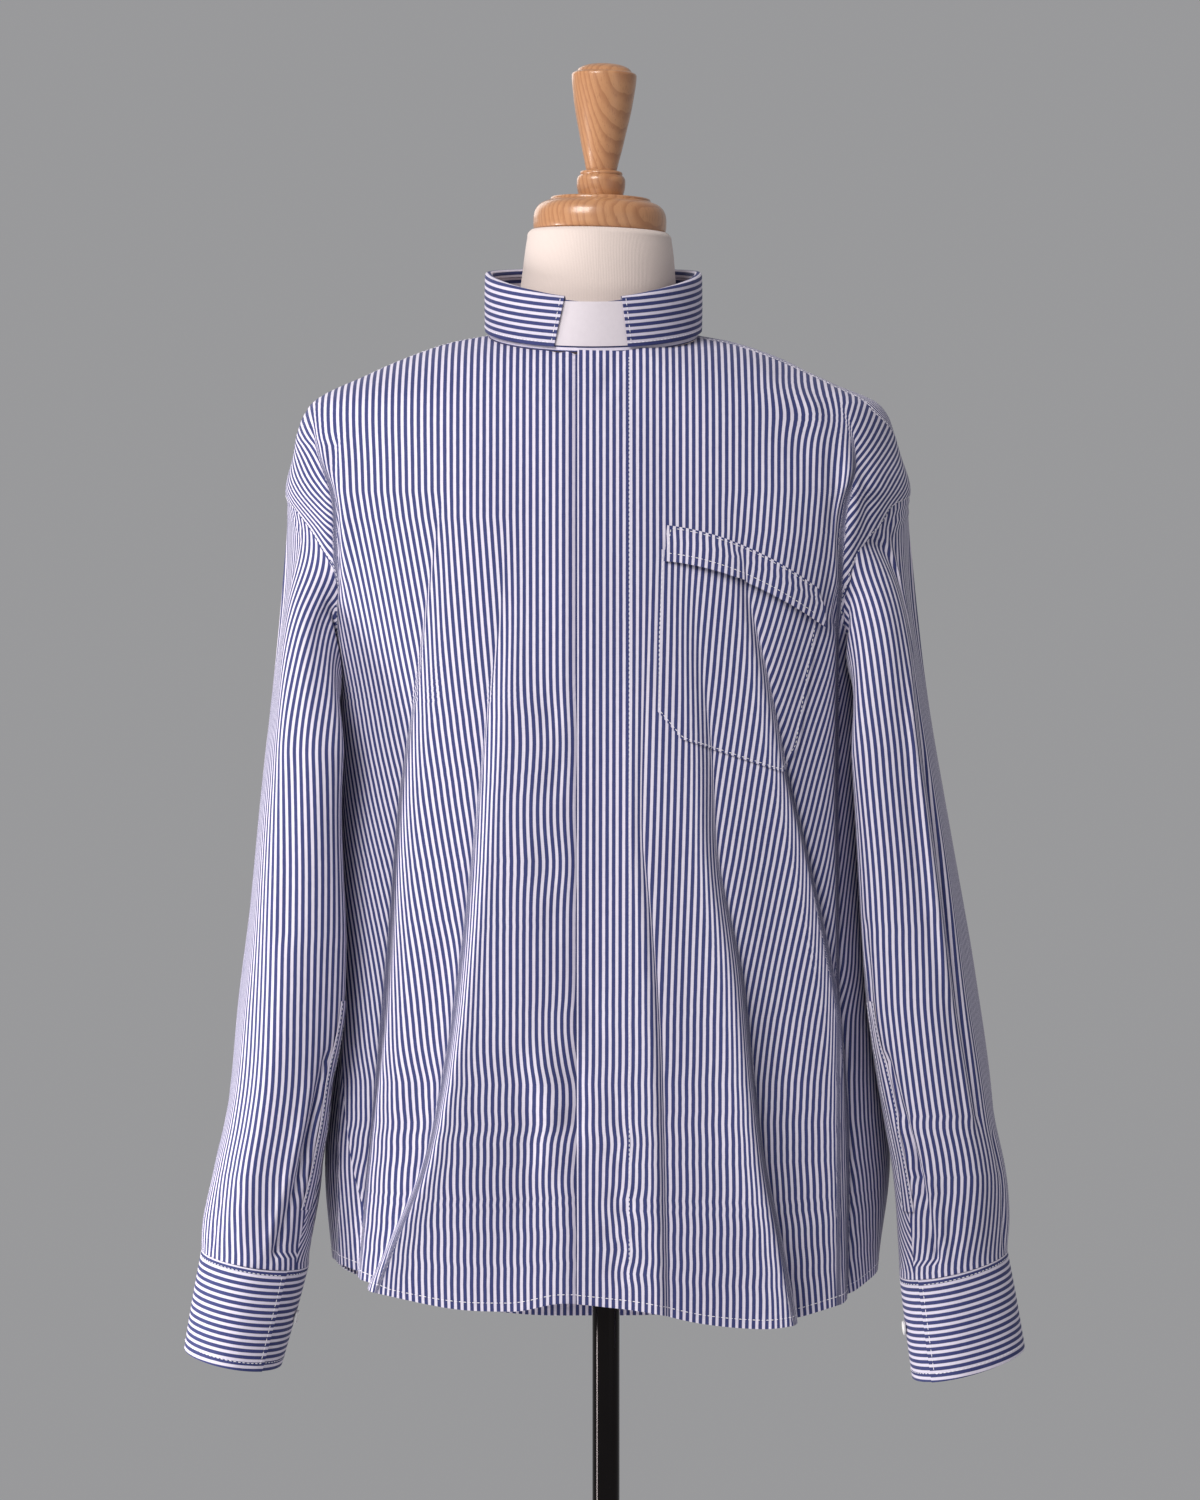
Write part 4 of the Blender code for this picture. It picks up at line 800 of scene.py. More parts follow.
def cloth_piece(name, points, across, along, nodes=(), axis=(0, 0, 1.1), closed=False, edge=None,
                finish=None, thickness=EDGE_THICK, shade=None):
    """A piece of cloth from a grid of points, and its UV map from two grids of distances."""
    normals, turned = facing(points, np.asarray(axis, float))
    across, along = (np.broadcast_to(part, points.shape[:2]) for part in (across, along))
    bm = grid_mesh(points, across, along)
    weight = np.full(points.shape[:2], PLAIN_SHARE) if edge is None else edge
    deform = bm.verts.layers.deform.new()
    for vert, share in zip(bm.verts, weight.reshape(-1)):
        vert[deform][0] = share
    if shade is not None:
        layer = bm.verts.layers.float.new("shade")
        for vert, dark in zip(bm.verts, shade.reshape(-1)):
            vert[layer] = dark
    if closed:
        bmesh.ops.remove_doubles(bm, verts=bm.verts, dist=0.00001)
    if turned:
        bmesh.ops.reverse_faces(bm, faces=bm.faces)
    piece = finished(name, bm, finish or shirting_finish, nodes)
    piece.vertex_groups.new(name="thick")
    walled(piece, thickness, "thick")
    upwards, sideways = points[1:, :-1] - points[:-1, :-1], points[:-1, 1:] - points[:-1, :-1]
    area = sum(np.linalg.norm(np.cross(upwards, sideways), axis=-1).reshape(-1))
    return {"object": piece, "points": points, "normals": normals, "across": across, "along": along,
            "area": float(area), "stitches": []}


def run_across(points, keep=1.0):
    """Distance along each row from its first column. keep is the share of front-to-back distance kept."""
    step = np.diff(points, axis=1)
    keep = np.broadcast_to(keep, points.shape[:2])[:, 1:]
    length = np.sqrt(step[..., 0] ** 2 + keep * step[..., 1] ** 2 + keep * step[..., 2] ** 2)
    return np.concatenate([np.zeros((len(points), 1)), np.cumsum(length, axis=1)], axis=1)


def run_along(points):
    """Distance up each column from its first row."""
    step = np.linalg.norm(np.diff(points, axis=0), axis=-1)
    return np.concatenate([np.zeros((1, points.shape[1])), np.cumsum(step, axis=0)], axis=0)


ARC_SAMPLES = 700
GATHERED = 2.2
GATHERED_HALF = 0.006  # columns are closer over this distance
GATHERED_FROM = (0.02, -0.04)  # and between these heights from where the fold starts
HEM_ROWS = (0, 0.003, 0.0068, 0.0084)  # heights of the turned hem's rows
ABOVE_HEM = 0.012
LOW_PITCH = 0.005
ROW_PITCH = 0.0048


def near_tucks(x, level, face):
    """1 at the line of a fold that tucks cloth away, and 0 away from it."""
    near = np.zeros(np.broadcast(x, level).shape)
    for name, side, starts, _, _, step, _ in FOLDS:
        if side == face:
            tuck = beside_fold(name, x, level) + TUCK_AT * step
            there = ease(*(starts + up for up in GATHERED_FROM), level)
            near = np.maximum(near, np.exp(-((tuck / GATHERED_HALF) ** 2)) * there)
    return near


def even_columns(start, end, levels, count, face, lifted):
    """Angles and levels of columns spaced evenly along the cloth, row by row, but closer at its tucks."""
    share = np.linspace(0, 1, ARC_SAMPLES)
    angle = start[:, None] + (end - start)[:, None] * share
    level = lifted(levels[:, None] + 0 * angle, angle, share)
    places = smooth_body(angle, level)
    run = run_across(places)
    step = np.diff(run, axis=1) * (1 + GATHERED * near_tucks(places[:, 1:, 0], level[:, 1:], face))
    run = np.concatenate([run[:, :1], np.cumsum(step, axis=1)], axis=1)
    want = np.linspace(0, 1, count)
    share = np.array([np.interp(want * row[-1], row, share) for row in run])
    angle = start[:, None] + (end - start)[:, None] * share
    return angle, lifted(levels[:, None] + 0 * angle, angle, share)


def row_levels(*stops):
    """Levels from the hem up: close together at the turned hem, then between the stops."""
    rows = [ROWS_START + up for up in HEM_ROWS]
    rows += list(np.linspace(ROWS_START + ABOVE_HEM, stops[0], round((stops[0] - ROWS_START) / LOW_PITCH)))
    for stop in stops[1:]:
        high, pitch = stop if isinstance(stop, tuple) else (stop, ROW_PITCH)
        rows += list(np.linspace(rows[-1], high, max(2, round((high - rows[-1]) / pitch)) + 1)[1:])
    return np.array(rows)


def side_angles(levels, side, table):
    """The angle of a panel's outer edge: up the side seam, and then round the armhole."""
    seam = read(ARMHOLE_COLUMNS, table)
    return np.where(levels < UNDERARM, follow(levels, SIDES["level"], SIDES[side]),
                    follow(levels, seam["level"], seam[side]))


def hem_weight(shape, rows=3):
    """Full thickness at the turned hem, and a single layer above it."""
    weight = np.full(shape, PLAIN_SHARE)
    weight[:rows] = 1.0
    return weight


print("cloth is", round(EDGE_THICK * PLAIN_SHARE * 1000, 2), "mm thick")

# %% [markdown]
# ## Fronts
# The wearer's left front laps over the right one and carries a fly that hides the buttons. Stripes run
# straight down from the fly's edge. Over the shoulders they keep to upright planes, because the cloth is
# pulled across the slope and not round it, so there the distance from front to back isn't counted.

# %% The two fronts
FLY_LIFT = 0.0022
GROOVE = 0.0022  # the right front dips under the fly's edge
GROOVE_AT = -0.0015  # from the fly's edge
GROOVE_HALF = 0.0042
FLY_LIFT_FADES = (0.022, 0.06)
# painted shadow in the right front's colour along the fly's edge: how dark, and its half-width
FLY_SHADE = 0.5
FLY_SHADE_HALF = 0.0026
MEETS_DARK = 0.0021  # a dark stripe of the right front meets the fly
FRONT_COLUMNS = 136
FRONT_STOPS = (UNDERARM, 1.304, (ARMHOLE_TOP, 0.0017), NECKLINE)  # the third has a closer pitch
UPRIGHT_OVER = (1.3, 1.395)  # between these levels the stripes leave the ring and stand upright
SWINGS = {  # where the cloth is drawn under the fly: x, z, reach across, reach up, metres
    "right": ((-0.02, 0.872, 0.03, 0.026, 0.005), (-0.024, 0.812, 0.026, 0.02, -0.0014),
              (-0.022, 0.93, 0.03, 0.02, -0.002), (-0.05, 1.14, 0.03, 0.03, 0.003),
              (-0.04, 1.05, 0.026, 0.022, 0.0024)),
    "left": ((0.014, 0.794, 0.016, 0.012, 0.0022), (0.012, 0.762, 0.013, 0.008, -0.0016),
             (0.018, 0.742, 0.014, 0.007, 0.0014), (0.012, 0.842, 0.018, 0.014, -0.0018),
             (0.158, 1.39, 0.024, 0.015, -0.0042), (0.15, 1.42, 0.024, 0.012, 0.0018)),
}


def front(side):
    levels = row_levels(*FRONT_STOPS)
    shoulder = follow(levels, SHOULDERS["level"], SHOULDERS[side])
    outer = np.where(levels < ARMHOLE_TOP, side_angles(levels, side, ARMHOLE_FRONT), shoulder)
    inner = angle_at(UNDERLAP_EDGE if side == "right" else FLY_EDGE, levels)
    start, end = (outer, inner) if side == "right" else (inner, outer)
    angles, heights = even_columns(start, end, levels, FRONT_COLUMNS, "front",
                                  lambda level, angle, _: at_hem(level, angle))
    normals = body_normal(angles, heights)
    points = creased(smooth_body(angles, heights), normals)
    keep = 1 - ease(*UPRIGHT_OVER, heights)
    across = run_across(points, keep)
    if side == "right":
        across = across[:, -1:] - across - (UNDERLAP_EDGE - FLY_EDGE) + MEETS_DARK
    x = points[..., 0]
    across = across + stored_cloth(x, heights, "front")
    for at, up, wide, tall, pull in SWINGS[side]:
        across = across + pull * np.exp(-(((x - at) / wide) ** 2) - ((heights - up) / tall) ** 2)
    if side == "left":
        lift = FLY_LIFT * (1 - ease(*FLY_LIFT_FADES, x))
        points = points + normals * lift[..., None]
    # painted shade along the tucks of the front
    shade = fold_shade(x, heights, "front")
    if side == "right":
        sunk = GROOVE * np.exp(-(((x - FLY_EDGE - GROOVE_AT) / GROOVE_HALF) ** 2))
        points = points - normals * sunk[..., None]
        # a painted shadow line in the right front's colour, along the fly's edge
        shade = np.maximum(shade, FLY_SHADE * np.exp(-(((x - FLY_EDGE) / FLY_SHADE_HALF) ** 2)))
    weight = hem_weight(x.shape)
    weight[:, :2] = weight[:, -2:] = 1.0
    return cloth_piece("front_" + side, points, across, heights, ("front_" + side,), edge=weight,
                       shade=shade)


fronts = {side: front(side) for side in ("right", "left")}
for side, made in fronts.items():
    print("front", side, "has", round(made["area"], 3), "square metres of cloth")

# %% [markdown]
# ## Back and yoke
# The back hangs from a yoke that crosses the shoulders. On a striped shirt the yoke's stripes run from
# shoulder to shoulder, so its pattern is measured along the shirt's depth instead of round it.

# %% The back
BACK_COLUMNS = 140
BACK_EVEN = (1.2, YOKE_AT_ARMHOLE)


def arched(level, angle, share):
    """The back's rows: the lowest follow the hem, the highest rise in the middle to meet the yoke."""
    arch = (YOKE_AT_CENTRE_BACK - YOKE_AT_ARMHOLE) * (1 - (2 * share - 1) ** 2)
    return at_hem(level, angle) + arch * ease(*BACK_EVEN, level)


def back_panel():
    levels = row_levels(UNDERARM, YOKE_AT_ARMHOLE)
    start = side_angles(levels, "left", ARMHOLE_BACK)
    end = side_angles(levels, "right", ARMHOLE_BACK) + 360
    angles, heights = even_columns(start, end, levels, BACK_COLUMNS, "back", arched)
    points = creased(smooth_body(angles, heights), body_normal(angles, heights))
    run = run_across(points)
    middle = np.array([np.interp(180, a, r) for a, r in zip(angles, run)])[:, None]
    across = run - middle
    across = across - stored_cloth(points[..., 0], heights, "back") * np.sign(points[..., 0])
    # painted shade along the tucks of the back
    shade = fold_shade(points[..., 0], heights, "back")
    made = cloth_piece("back", points, across, heights, ("back",), edge=hem_weight(across.shape),
                       shade=shade)
    return made, angles[-1], heights[-1]


back, yoke_line, yoke_levels = back_panel()
print("back has", round(back["area"], 3), "square metres of cloth")

# %% The yoke
YOKE_COLUMNS = 120
YOKE_ROWS = 34
YOKE_TIP = 12
YOKE_SIDE = 30  # columns over which its left side bends to the shoulder's seam


def yoke_panel():
    tip = np.linspace(ARMHOLE_TOP, YOKE_AT_ARMHOLE, YOKE_TIP)[:-1]
    seam = read(ARMHOLE_COLUMNS, ARMHOLE_BACK)
    ends = {side: follow(tip, seam["level"], seam[side]) for side in ("left", "right")}
    angle = np.concatenate([ends["left"], yoke_line, ends["right"][::-1] + 360])
    level = np.concatenate([tip, yoke_levels, tip[::-1]])
    run = run_across(smooth_body(angle, level)[None])[0]
    want = np.linspace(0, run[-1], YOKE_COLUMNS)
    low_angle, low_level = np.interp(want, run, angle), np.interp(want, run, level)
    first, last = SHOULDERS["left"][-1], SHOULDERS["right"][-1] + 360
    top = np.linspace(first, last, ARC_SAMPLES)
    run = run_across(ring_point(top, NECKLINE, BODY)[None])[0]
    high_angle = np.interp(np.linspace(0, run[-1], YOKE_COLUMNS), run, top)
    share = np.linspace(0, 1, YOKE_ROWS)[:, None]
    angles = low_angle + (high_angle - low_angle) * ease(0, 1, share)
    heights = low_level + (NECKLINE - low_level) * share
    seam = follow(heights[:, 0], SHOULDERS["level"], SHOULDERS["left"])
    angles = angles + (seam - angles[:, 0])[:, None] * (1 - ease(0, YOKE_SIDE, np.arange(YOKE_COLUMNS)))
    normals = body_normal(angles, heights)
    points = creased(smooth_body(angles, heights), normals)
    way = unit(np.stack([0 * normals[..., 0], normals[..., 2], -normals[..., 1]], axis=-1))
    rise = (np.diff(points, axis=0) * (way[1:] + way[:-1]) / 2).sum(axis=-1)
    side_step = (np.diff(points, axis=1) * (way[:, 1:] + way[:, :-1]) / 2).sum(axis=-1)
    seam_run = np.concatenate([[0], np.cumsum(side_step[-1])])
    down = np.concatenate([np.cumsum(rise[::-1], axis=0)[::-1], np.zeros((1, YOKE_COLUMNS))])
    return cloth_piece("yoke", points, seam_run - down, run_across(points), ("yoke",))


yoke = yoke_panel()
print("yoke has", round(yoke["area"], 3), "square metres of cloth")

# %% [markdown]
# ## Sleeves
# A dropped sleeve leaves the armhole flat against the body and soon hangs straight. Its rings run from
# the armhole's own edge, through ovals that are deeper than wide, to the cuff. The stripes start at the
# outer side and are cut off at the seam under the arm, where they meet in a V.

# %% Sleeve sizes
SLEEVE_COLUMNS = ("level", "outer", "inner", "middle_y", "half_depth", "lean")
SLEEVES = {
    "right": (
        (1.129, -0.262, -0.205, -0.021, 0.085, 2.6),
        (1.085, -0.2665, -0.2025, -0.024, 0.08, 3),
        (1.041, -0.2707, -0.1995, -0.027, 0.076, 3.7),
        (0.998, -0.2751, -0.1965, -0.03, 0.073, 4.6),
        (0.945, -0.281, -0.196, -0.034, 0.068, 5.3),
        (0.884, -0.2871, -0.2045, -0.036, 0.062, 5.3),
        (0.852, -0.2917, -0.2085, -0.036, 0.06, 4.6),
        (0.817, -0.2985, -0.215, -0.035, 0.057, 4),
        (0.785, -0.302, -0.219, -0.034, 0.052, 2.6),
    ),
    "left": (
        (1.129, 0.2551, 0.1895, -0.026, 0.082, 4.1),
        (1.085, 0.2627, 0.1905, -0.031, 0.077, 4.7),
        (1.041, 0.2703, 0.1919, -0.035, 0.073, 5.5),
        (0.998, 0.2772, 0.1938, -0.039, 0.07, 6.4),
        (0.945, 0.2848, 0.1972, -0.042, 0.067, 6.8),
        (0.884, 0.2939, 0.2064, -0.044, 0.062, 5.9),
        (0.852, 0.2978, 0.2125, -0.044, 0.06, 4.7),
        (0.817, 0.3038, 0.2189, -0.043, 0.057, 3.5),
        (0.785, 0.306, 0.222, -0.042, 0.052, 2.3),
    ),
}
SLEEVE_SQUARE = 2.6  # 2 would be a plain oval
HUG_COLUMNS = ("level", "right", "left")
HUG = (  # how far the sleeve's front leans over the side of the body
    (1.275, 0, 0),
    (1.235, 0.013, 0.009),
    (1.17, 0.017, 0.012),
    (1.08, 0.009, 0.008),
    (0.98, 0.005, 0.005),
    (0.88, 0, 0),
)
HUG_TURN = 116.0
HUG_SPREAD = 34.0
SEAM_SUNK = 0.0009  # the sleeve's edge lies this far below the body's
SLEEVE_TURN = math.radians(130)  # how far the sleeve turns away from the body's face at the underarm
SLEEVE_CLEAR = 0.003  # the sleeve hangs this far off the body
SLEEVE_CLEAR_BY = 0.2  # and is that clear after this share of its head
SLEEVE_FOLDS = {  # angles round the sleeve from its outer side, and the depth of each soft trough
    "right": ((62, 40, 0.0024, 26), (176, 170, 0.005, 20), (262, 250, 0.006, 26)),
    "left": ((74, 70, 0.0045, 22), (28, 24, 0.0024, 20), (256, 250, 0.006, 26)),
}
CUFF_COLUMNS = ("x", "y", "z", "half_x", "half_y", "slope")
CUFFS = {
    "right": (
        (-0.268, -0.033, 0.748, 0.041, 0.0415, 0.15),
        (-0.285, -0.032, 0.672, 0.0373, 0.043, 0.17),
    ),
    "left": (
        (0.265, -0.041, 0.744, 0.0412, 0.0415, 0.24),
        (0.2765, -0.042, 0.668, 0.043, 0.0415, 0.27),
    ),
}
CUFF_FRONT_DROP = 0.14  # the cuff's front hangs lower than its back by this slope
OUTWARD = {"right": -1, "left": 1}
SEAM_TURN = {"right": 142, "left": 140}  # where the sleeve's own seam lies
SLEEVE_COLUMNS_ROUND = 132
HEAD_ROWS = 44
SLEEVE_PITCH = 0.0045
HEAD_SHARE = 0.4  # of the sleeve, as its folds and creases count it
FOOT_SHARE = 0.93  # the sleeve's foot begins here
SLEEVE_END = 0.75
SLEEVE_CREASES = {  # path as (turn, level); widths and heights in metres
    "right": (
        (((124, 0.9), (120, 0.86), (116, 0.8), (114, 0.756)), 0.006, -0.007),
        (((104, 0.815), (102, 0.756)), 0.0045, 0.0016),
        (((108, 0.88), (103, 0.8)), 0.006, 0.0024),
        (((66, 0.8), (68, 0.756)), 0.005, -0.0012),
        (((36, 0.792), (38, 0.756)), 0.005, -0.001),
        (((150, 0.88), (166, 0.83), (160, 0.78)), 0.009, -0.004),
        (((300, 0.82), (296, 0.76)), 0.006, -0.0016),
        (((84, 1.25), (80, 1.12), (74, 1)), 0.011, -0.0016),
        (((250, 1.22), (256, 1.05), (250, 0.9)), 0.013, -0.003),
        (((320, 1.15), (316, 0.98)), 0.013, -0.0018),
    ),
    "left": (
        (((126, 0.9), (120, 0.85), (114, 0.79), (112, 0.752)), 0.006, -0.007),
        (((106, 0.812), (100, 0.752)), 0.0045, 0.0018),
        (((96, 0.8), (92, 0.752)), 0.004, -0.002),
        (((84, 0.8), (82, 0.752)), 0.004, 0.0012),
        (((20, 0.84), (24, 0.76)), 0.005, -0.0018),
        (((54, 1.29), (50, 1.2), (47, 1.1), (46, 0.98), (46, 0.86)), 0.0075, -0.0066),
        (((66, 1.29), (62, 1.2), (60, 1.1), (60, 0.98), (58, 0.86)), 0.008, 0.0036),
        (((66, 1), (60, 0.94), (64, 0.86)), 0.008, -0.0026),
        (((128, 1), (136, 0.93), (130, 0.86)), 0.008, -0.0034),
        (((300, 0.82), (296, 0.756)), 0.006, -0.0016),
        (((250, 1.22), (256, 1.05), (250, 0.9)), 0.013, -0.003),
    ),
}


def armhole(side, turn):
    """The armhole's angle and level at each turn of the sleeve: down its front and up its back."""
    ahead, behind = read(ARMHOLE_COLUMNS, ARMHOLE_FRONT), read(ARMHOLE_COLUMNS, ARMHOLE_BACK)
    levels = np.concatenate([ahead["level"][::-1], behind["level"][1:]])
    index = np.asarray(turn) % 360 / 360 * (len(levels) - 1)
    level = follow(index, np.arange(len(levels)), levels)
    down = index <= len(ahead["level"]) - 1
    return np.where(down, follow(level, ahead["level"], ahead[side]),
                    follow(level, behind["level"], behind[side])), level


def cuff_ring(side, share, turn, out=0.0):
    """A place on the cuff: share is 0 at the top edge and 1 at the bottom one, turn goes round it."""
    top, bottom = (read(CUFF_COLUMNS, (row,)) for row in CUFFS[side])
    share, turn = np.broadcast_arrays(np.asarray(share, float), np.radians(turn))
    x, y, z, half_x, half_y, slope = (top[n][0] + (bottom[n][0] - top[n][0]) * share for n in CUFF_COLUMNS)
    wide, long = (half_x + out) * np.cos(turn), (half_y + out) * np.sin(turn)
    return np.stack([x + OUTWARD[side] * wide, y - long, z + slope * wide - CUFF_FRONT_DROP * long], axis=-1)


def sleeve_section(side, level, turn):
    """A ring of the hanging sleeve: a squarish oval deeper than wide, its front turned to the body."""
    table = read(SLEEVE_COLUMNS, SLEEVES[side])
    outer, inner, middle_y, deep, lean = (follow(level, table["level"], table[name])
                                          for name in SLEEVE_COLUMNS[1:])
    lean, out = np.radians(lean), OUTWARD[side]
    half = np.abs(outer - inner) / 2
    thick = np.sqrt(half**2 - (deep * np.sin(lean)) ** 2) / np.cos(lean)

    def oval(angle):
        wide = thick * np.sign(np.cos(angle)) * np.abs(np.cos(angle)) ** (2 / SLEEVE_SQUARE)
        long = deep * np.sign(np.sin(angle)) * np.abs(np.sin(angle)) ** (2 / SLEEVE_SQUARE)
        return wide * np.cos(lean) - long * np.sin(lean), wide * np.sin(lean) + long * np.cos(lean)

    fit = half / oval(np.radians(np.arange(0, 360, 3)))[0].max()
    across, ahead = oval(np.radians(turn))
    x = (outer + inner) / 2 + out * fit * across
    return np.stack([x, middle_y - ahead * np.minimum(fit * 1.05, 1.0), level + 0 * across], axis=-1)


def off_body(points, clear):
    """Points that are pushed out to stay clear of the shirt's body."""
    centre = follow(points[..., 2], BODY["level"], BODY["centre"])
    angle = np.degrees(np.arctan2(points[..., 0] - centre, -points[..., 1]))
    cloth = smooth_body(angle, points[..., 2])
    middle = np.stack([centre, 0 * centre], axis=-1)
    from_axis = points[..., :2] - middle
    reach = np.linalg.norm(from_axis, axis=-1)
    needed = np.linalg.norm(cloth[..., :2] - middle, axis=-1) + clear
    moved = points.copy()
    moved[..., :2] += from_axis * (np.maximum(needed / reach, 1.0)[..., None] - 1)
    return moved


def sleeve_fold(side, turn, share):
    """How deep the sleeve's troughs are, round it and from its head (0) to the cuff (1)."""
    depth = np.zeros(np.broadcast(turn, share).shape)
    for head, foot, trough, half in SLEEVE_FOLDS[side]:
        away = (turn - (head + (foot - head) * share) + 180) % 360 - 180
        depth = depth + trough * np.exp(-((away / half) ** 2)) * np.sin(np.pi * np.clip(share, 0, 1)) ** 0.7
    return depth


# %% The two sleeves
FOOT_BLEND = 0.03  # the sleeve closes onto the cuff over this height


def blended(start, end, leave, arrive, t):
    """A place between start and end that leaves the one and reaches the other in given directions."""
    return (start * (2 * t**3 - 3 * t**2 + 1) + end * (3 * t**2 - 2 * t**3)
            + leave * (t**3 - 2 * t**2 + t) + arrive * (t**3 - t**2))


def sleeve_surface(side, turn):
    """Rings of the sleeve at these turns, from the armhole down, with each row's share and drop."""
    angle, level = armhole(side, turn)
    start_normal = body_normal(angle, level)
    start = creased(smooth_body(angle, level), start_normal) - start_normal * SEAM_SUNK
    to_middle = start.mean(axis=0) - start
    into_hole = unit(to_middle - start_normal * (to_middle * start_normal).sum(axis=1, keepdims=True))
    leave_by = SLEEVE_TURN * ease(ARMHOLE_TOP, UNDERARM, level)[:, None]
    leave = into_hole * np.cos(leave_by) + start_normal * np.sin(leave_by)
    table = read(SLEEVE_COLUMNS, SLEEVES[side])["level"]
    first = sleeve_section(side, table[0], turn)
    down = unit(sleeve_section(side, table[0] - 0.01, turn) - first)
    reach = np.linalg.norm(first - start, axis=1, keepdims=True)
    rings, shares = [], []
    for t in np.linspace(0, 1, HEAD_ROWS):
        ring = blended(start, first, leave * reach, down * reach, t)
        rings.append(off_body(ring, SLEEVE_CLEAR * ease(0, SLEEVE_CLEAR_BY, t)) if t else ring)
        shares.append(HEAD_SHARE * t)
    for drop in np.arange(table[0] - SLEEVE_PITCH, table[-1] + FOOT_BLEND, -SLEEVE_PITCH):
        rings.append(off_body(sleeve_section(side, drop, turn), SLEEVE_CLEAR))
        shares.append(HEAD_SHARE + (1 - HEAD_SHARE) * (table[0] - drop) / (table[0] - SLEEVE_END))
    foot = cuff_ring(side, 0.0, turn) + (0, 0, SEAM_GAP)
    last, before = rings[-1], rings[-2]
    pace = unit(last - before)
    gap = np.linalg.norm(foot - last, axis=1, keepdims=True)
    for t in np.linspace(0, 1, 15)[1:]:
        rings.append(blended(last, foot, pace * gap, (0, 0, -0.7) * gap, t))
        shares.append(FOOT_SHARE + (1 - FOOT_SHARE) * t)
    return np.array(rings), np.array(shares)[:, None]


def level_runs(head, cols):
    """How far each place is from the first of these columns, along the level line through it."""
    fall = np.minimum.accumulate(head[..., 2], axis=0) - 1e-7 * np.arange(len(head))[:, None]
    runs = []
    for i, col in enumerate(cols):
        level = -head[:, col, 2]
        line = np.array([[np.interp(level, -fall[:, k], head[:, k, axis]) for axis in range(3)]
                         for k in cols[:i + 1]])
        runs.append(np.linalg.norm(np.diff(line, axis=0), axis=1).sum(axis=0))
    return np.stack(runs, axis=1)


def stripes_across(grid, turn):
    """Distance of each place from the sleeve's outer line, measured level round the sleeve.

    The tube's rings are level. The head's are not, so there the level lines are found first.
    """
    run = run_across(grid)
    across = run - np.array([np.interp(0, turn, row) for row in run])[:, None]
    start, first = int(np.argmin(np.abs(turn))), int(np.argmax(turn > -150))
    head, from_outer = grid[:HEAD_ROWS], across[HEAD_ROWS - 1, start]
    front, rear = np.arange(start, len(turn)), np.arange(start, first - 1, -1)
    across[:HEAD_ROWS, front] = from_outer + level_runs(head, front)
    across[:HEAD_ROWS, rear] = from_outer - level_runs(head, rear)
    across[:HEAD_ROWS, :first] = (across[:HEAD_ROWS, first, None] + run[:HEAD_ROWS, :first]
                                  - run[:HEAD_ROWS, first, None])
    return across


def sleeve(side):
    turn = np.linspace(SEAM_TURN[side] - 360, SEAM_TURN[side], SLEEVE_COLUMNS_ROUND + 1)
    grid, share = sleeve_surface(side, turn)
    middle = grid.mean(axis=1, keepdims=True)
    inward = unit((middle - grid) * (1, 1, 0))
    grid = grid + inward * sleeve_fold(side, turn[None, :], share)[..., None]
    hug = read(HUG_COLUMNS, HUG)
    lean_in = follow(grid[..., 2], hug["level"], hug[side])
    lean_in = lean_in * np.exp(-(((turn - HUG_TURN) / HUG_SPREAD) ** 2))
    leaned = grid - (OUTWARD[side], 0, 0) * (lean_in * ease(0.0, 0.08, share))[..., None]
    grid = np.concatenate([grid[:3], off_body(leaned[3:-16], 0.0026), leaned[-16:]])
    facing_out = unit((grid - middle) * (1, 1, 0.0001))
    fade = ease(0.02, 0.12, share) * (1 - ease(0.965, 1.0, share))
    width = 0.0013 * (turn[None, :] % 360) + 0 * share
    height = crease_height(width, grid[..., 2],
                           [(tuple((0.0013 * a, z) for a, z in path), half, size)
                            for path, half, size in SLEEVE_CREASES[side]])
    height = height * (1 - 0.6 * ease(0.985, 1.0, share))
    height = height + fade * 1.2 * sway_height(width * 1.3, grid[..., 2])
    grid = grid + facing_out * height[..., None]
    across = stripes_across(grid, turn)
    along = -run_along(grid)
    axis = (OUTWARD[side] * 0.262, -0.03, 1.0)
    made = cloth_piece("sleeve_" + side, grid, across, along, ("sleeve_" + side,), axis=axis, closed=True)
    made["turn"] = turn
    return made


sleeves = {side: sleeve(side) for side in ("right", "left")}
for side, made in sleeves.items():
    print("sleeve", side, "has", round(made["area"], 3), "square metres of cloth")

# %% [markdown]
# ## Cuffs, plackets and their buttons
# A cuff is a stiff double band whose stripes lie crosswise. Its outer layer rolls over the bottom edge
# and comes up again inside. Its two ends lap on the side that faces the body, over a small button.

# %% Cuffs and plackets
CUFF_END = {"right": 128, "left": 132}
CUFF_LAP = 14.0
EVEN_PAINTED_SHADE = 0.08  # painted shade, laid evenly over the cuffs and, 1.6 times as much, over the collar
CUFF_RISES = (290, 350)
CUFF_DEEP = 0.0012  # from the outer face to the inner one
CUFF_AROUND = 120
CUFF_ROWS = (22, 5, 18)  # down its outside, round its bottom edge and up its inside
CUFF_ROLL = 0.008  # the share of its height that is the rolled edge
PLACKET_OFF = 0.0014
PLACKET_TURNS = (130, 150)
PLACKET_LEVELS = (0.945, 0.79)


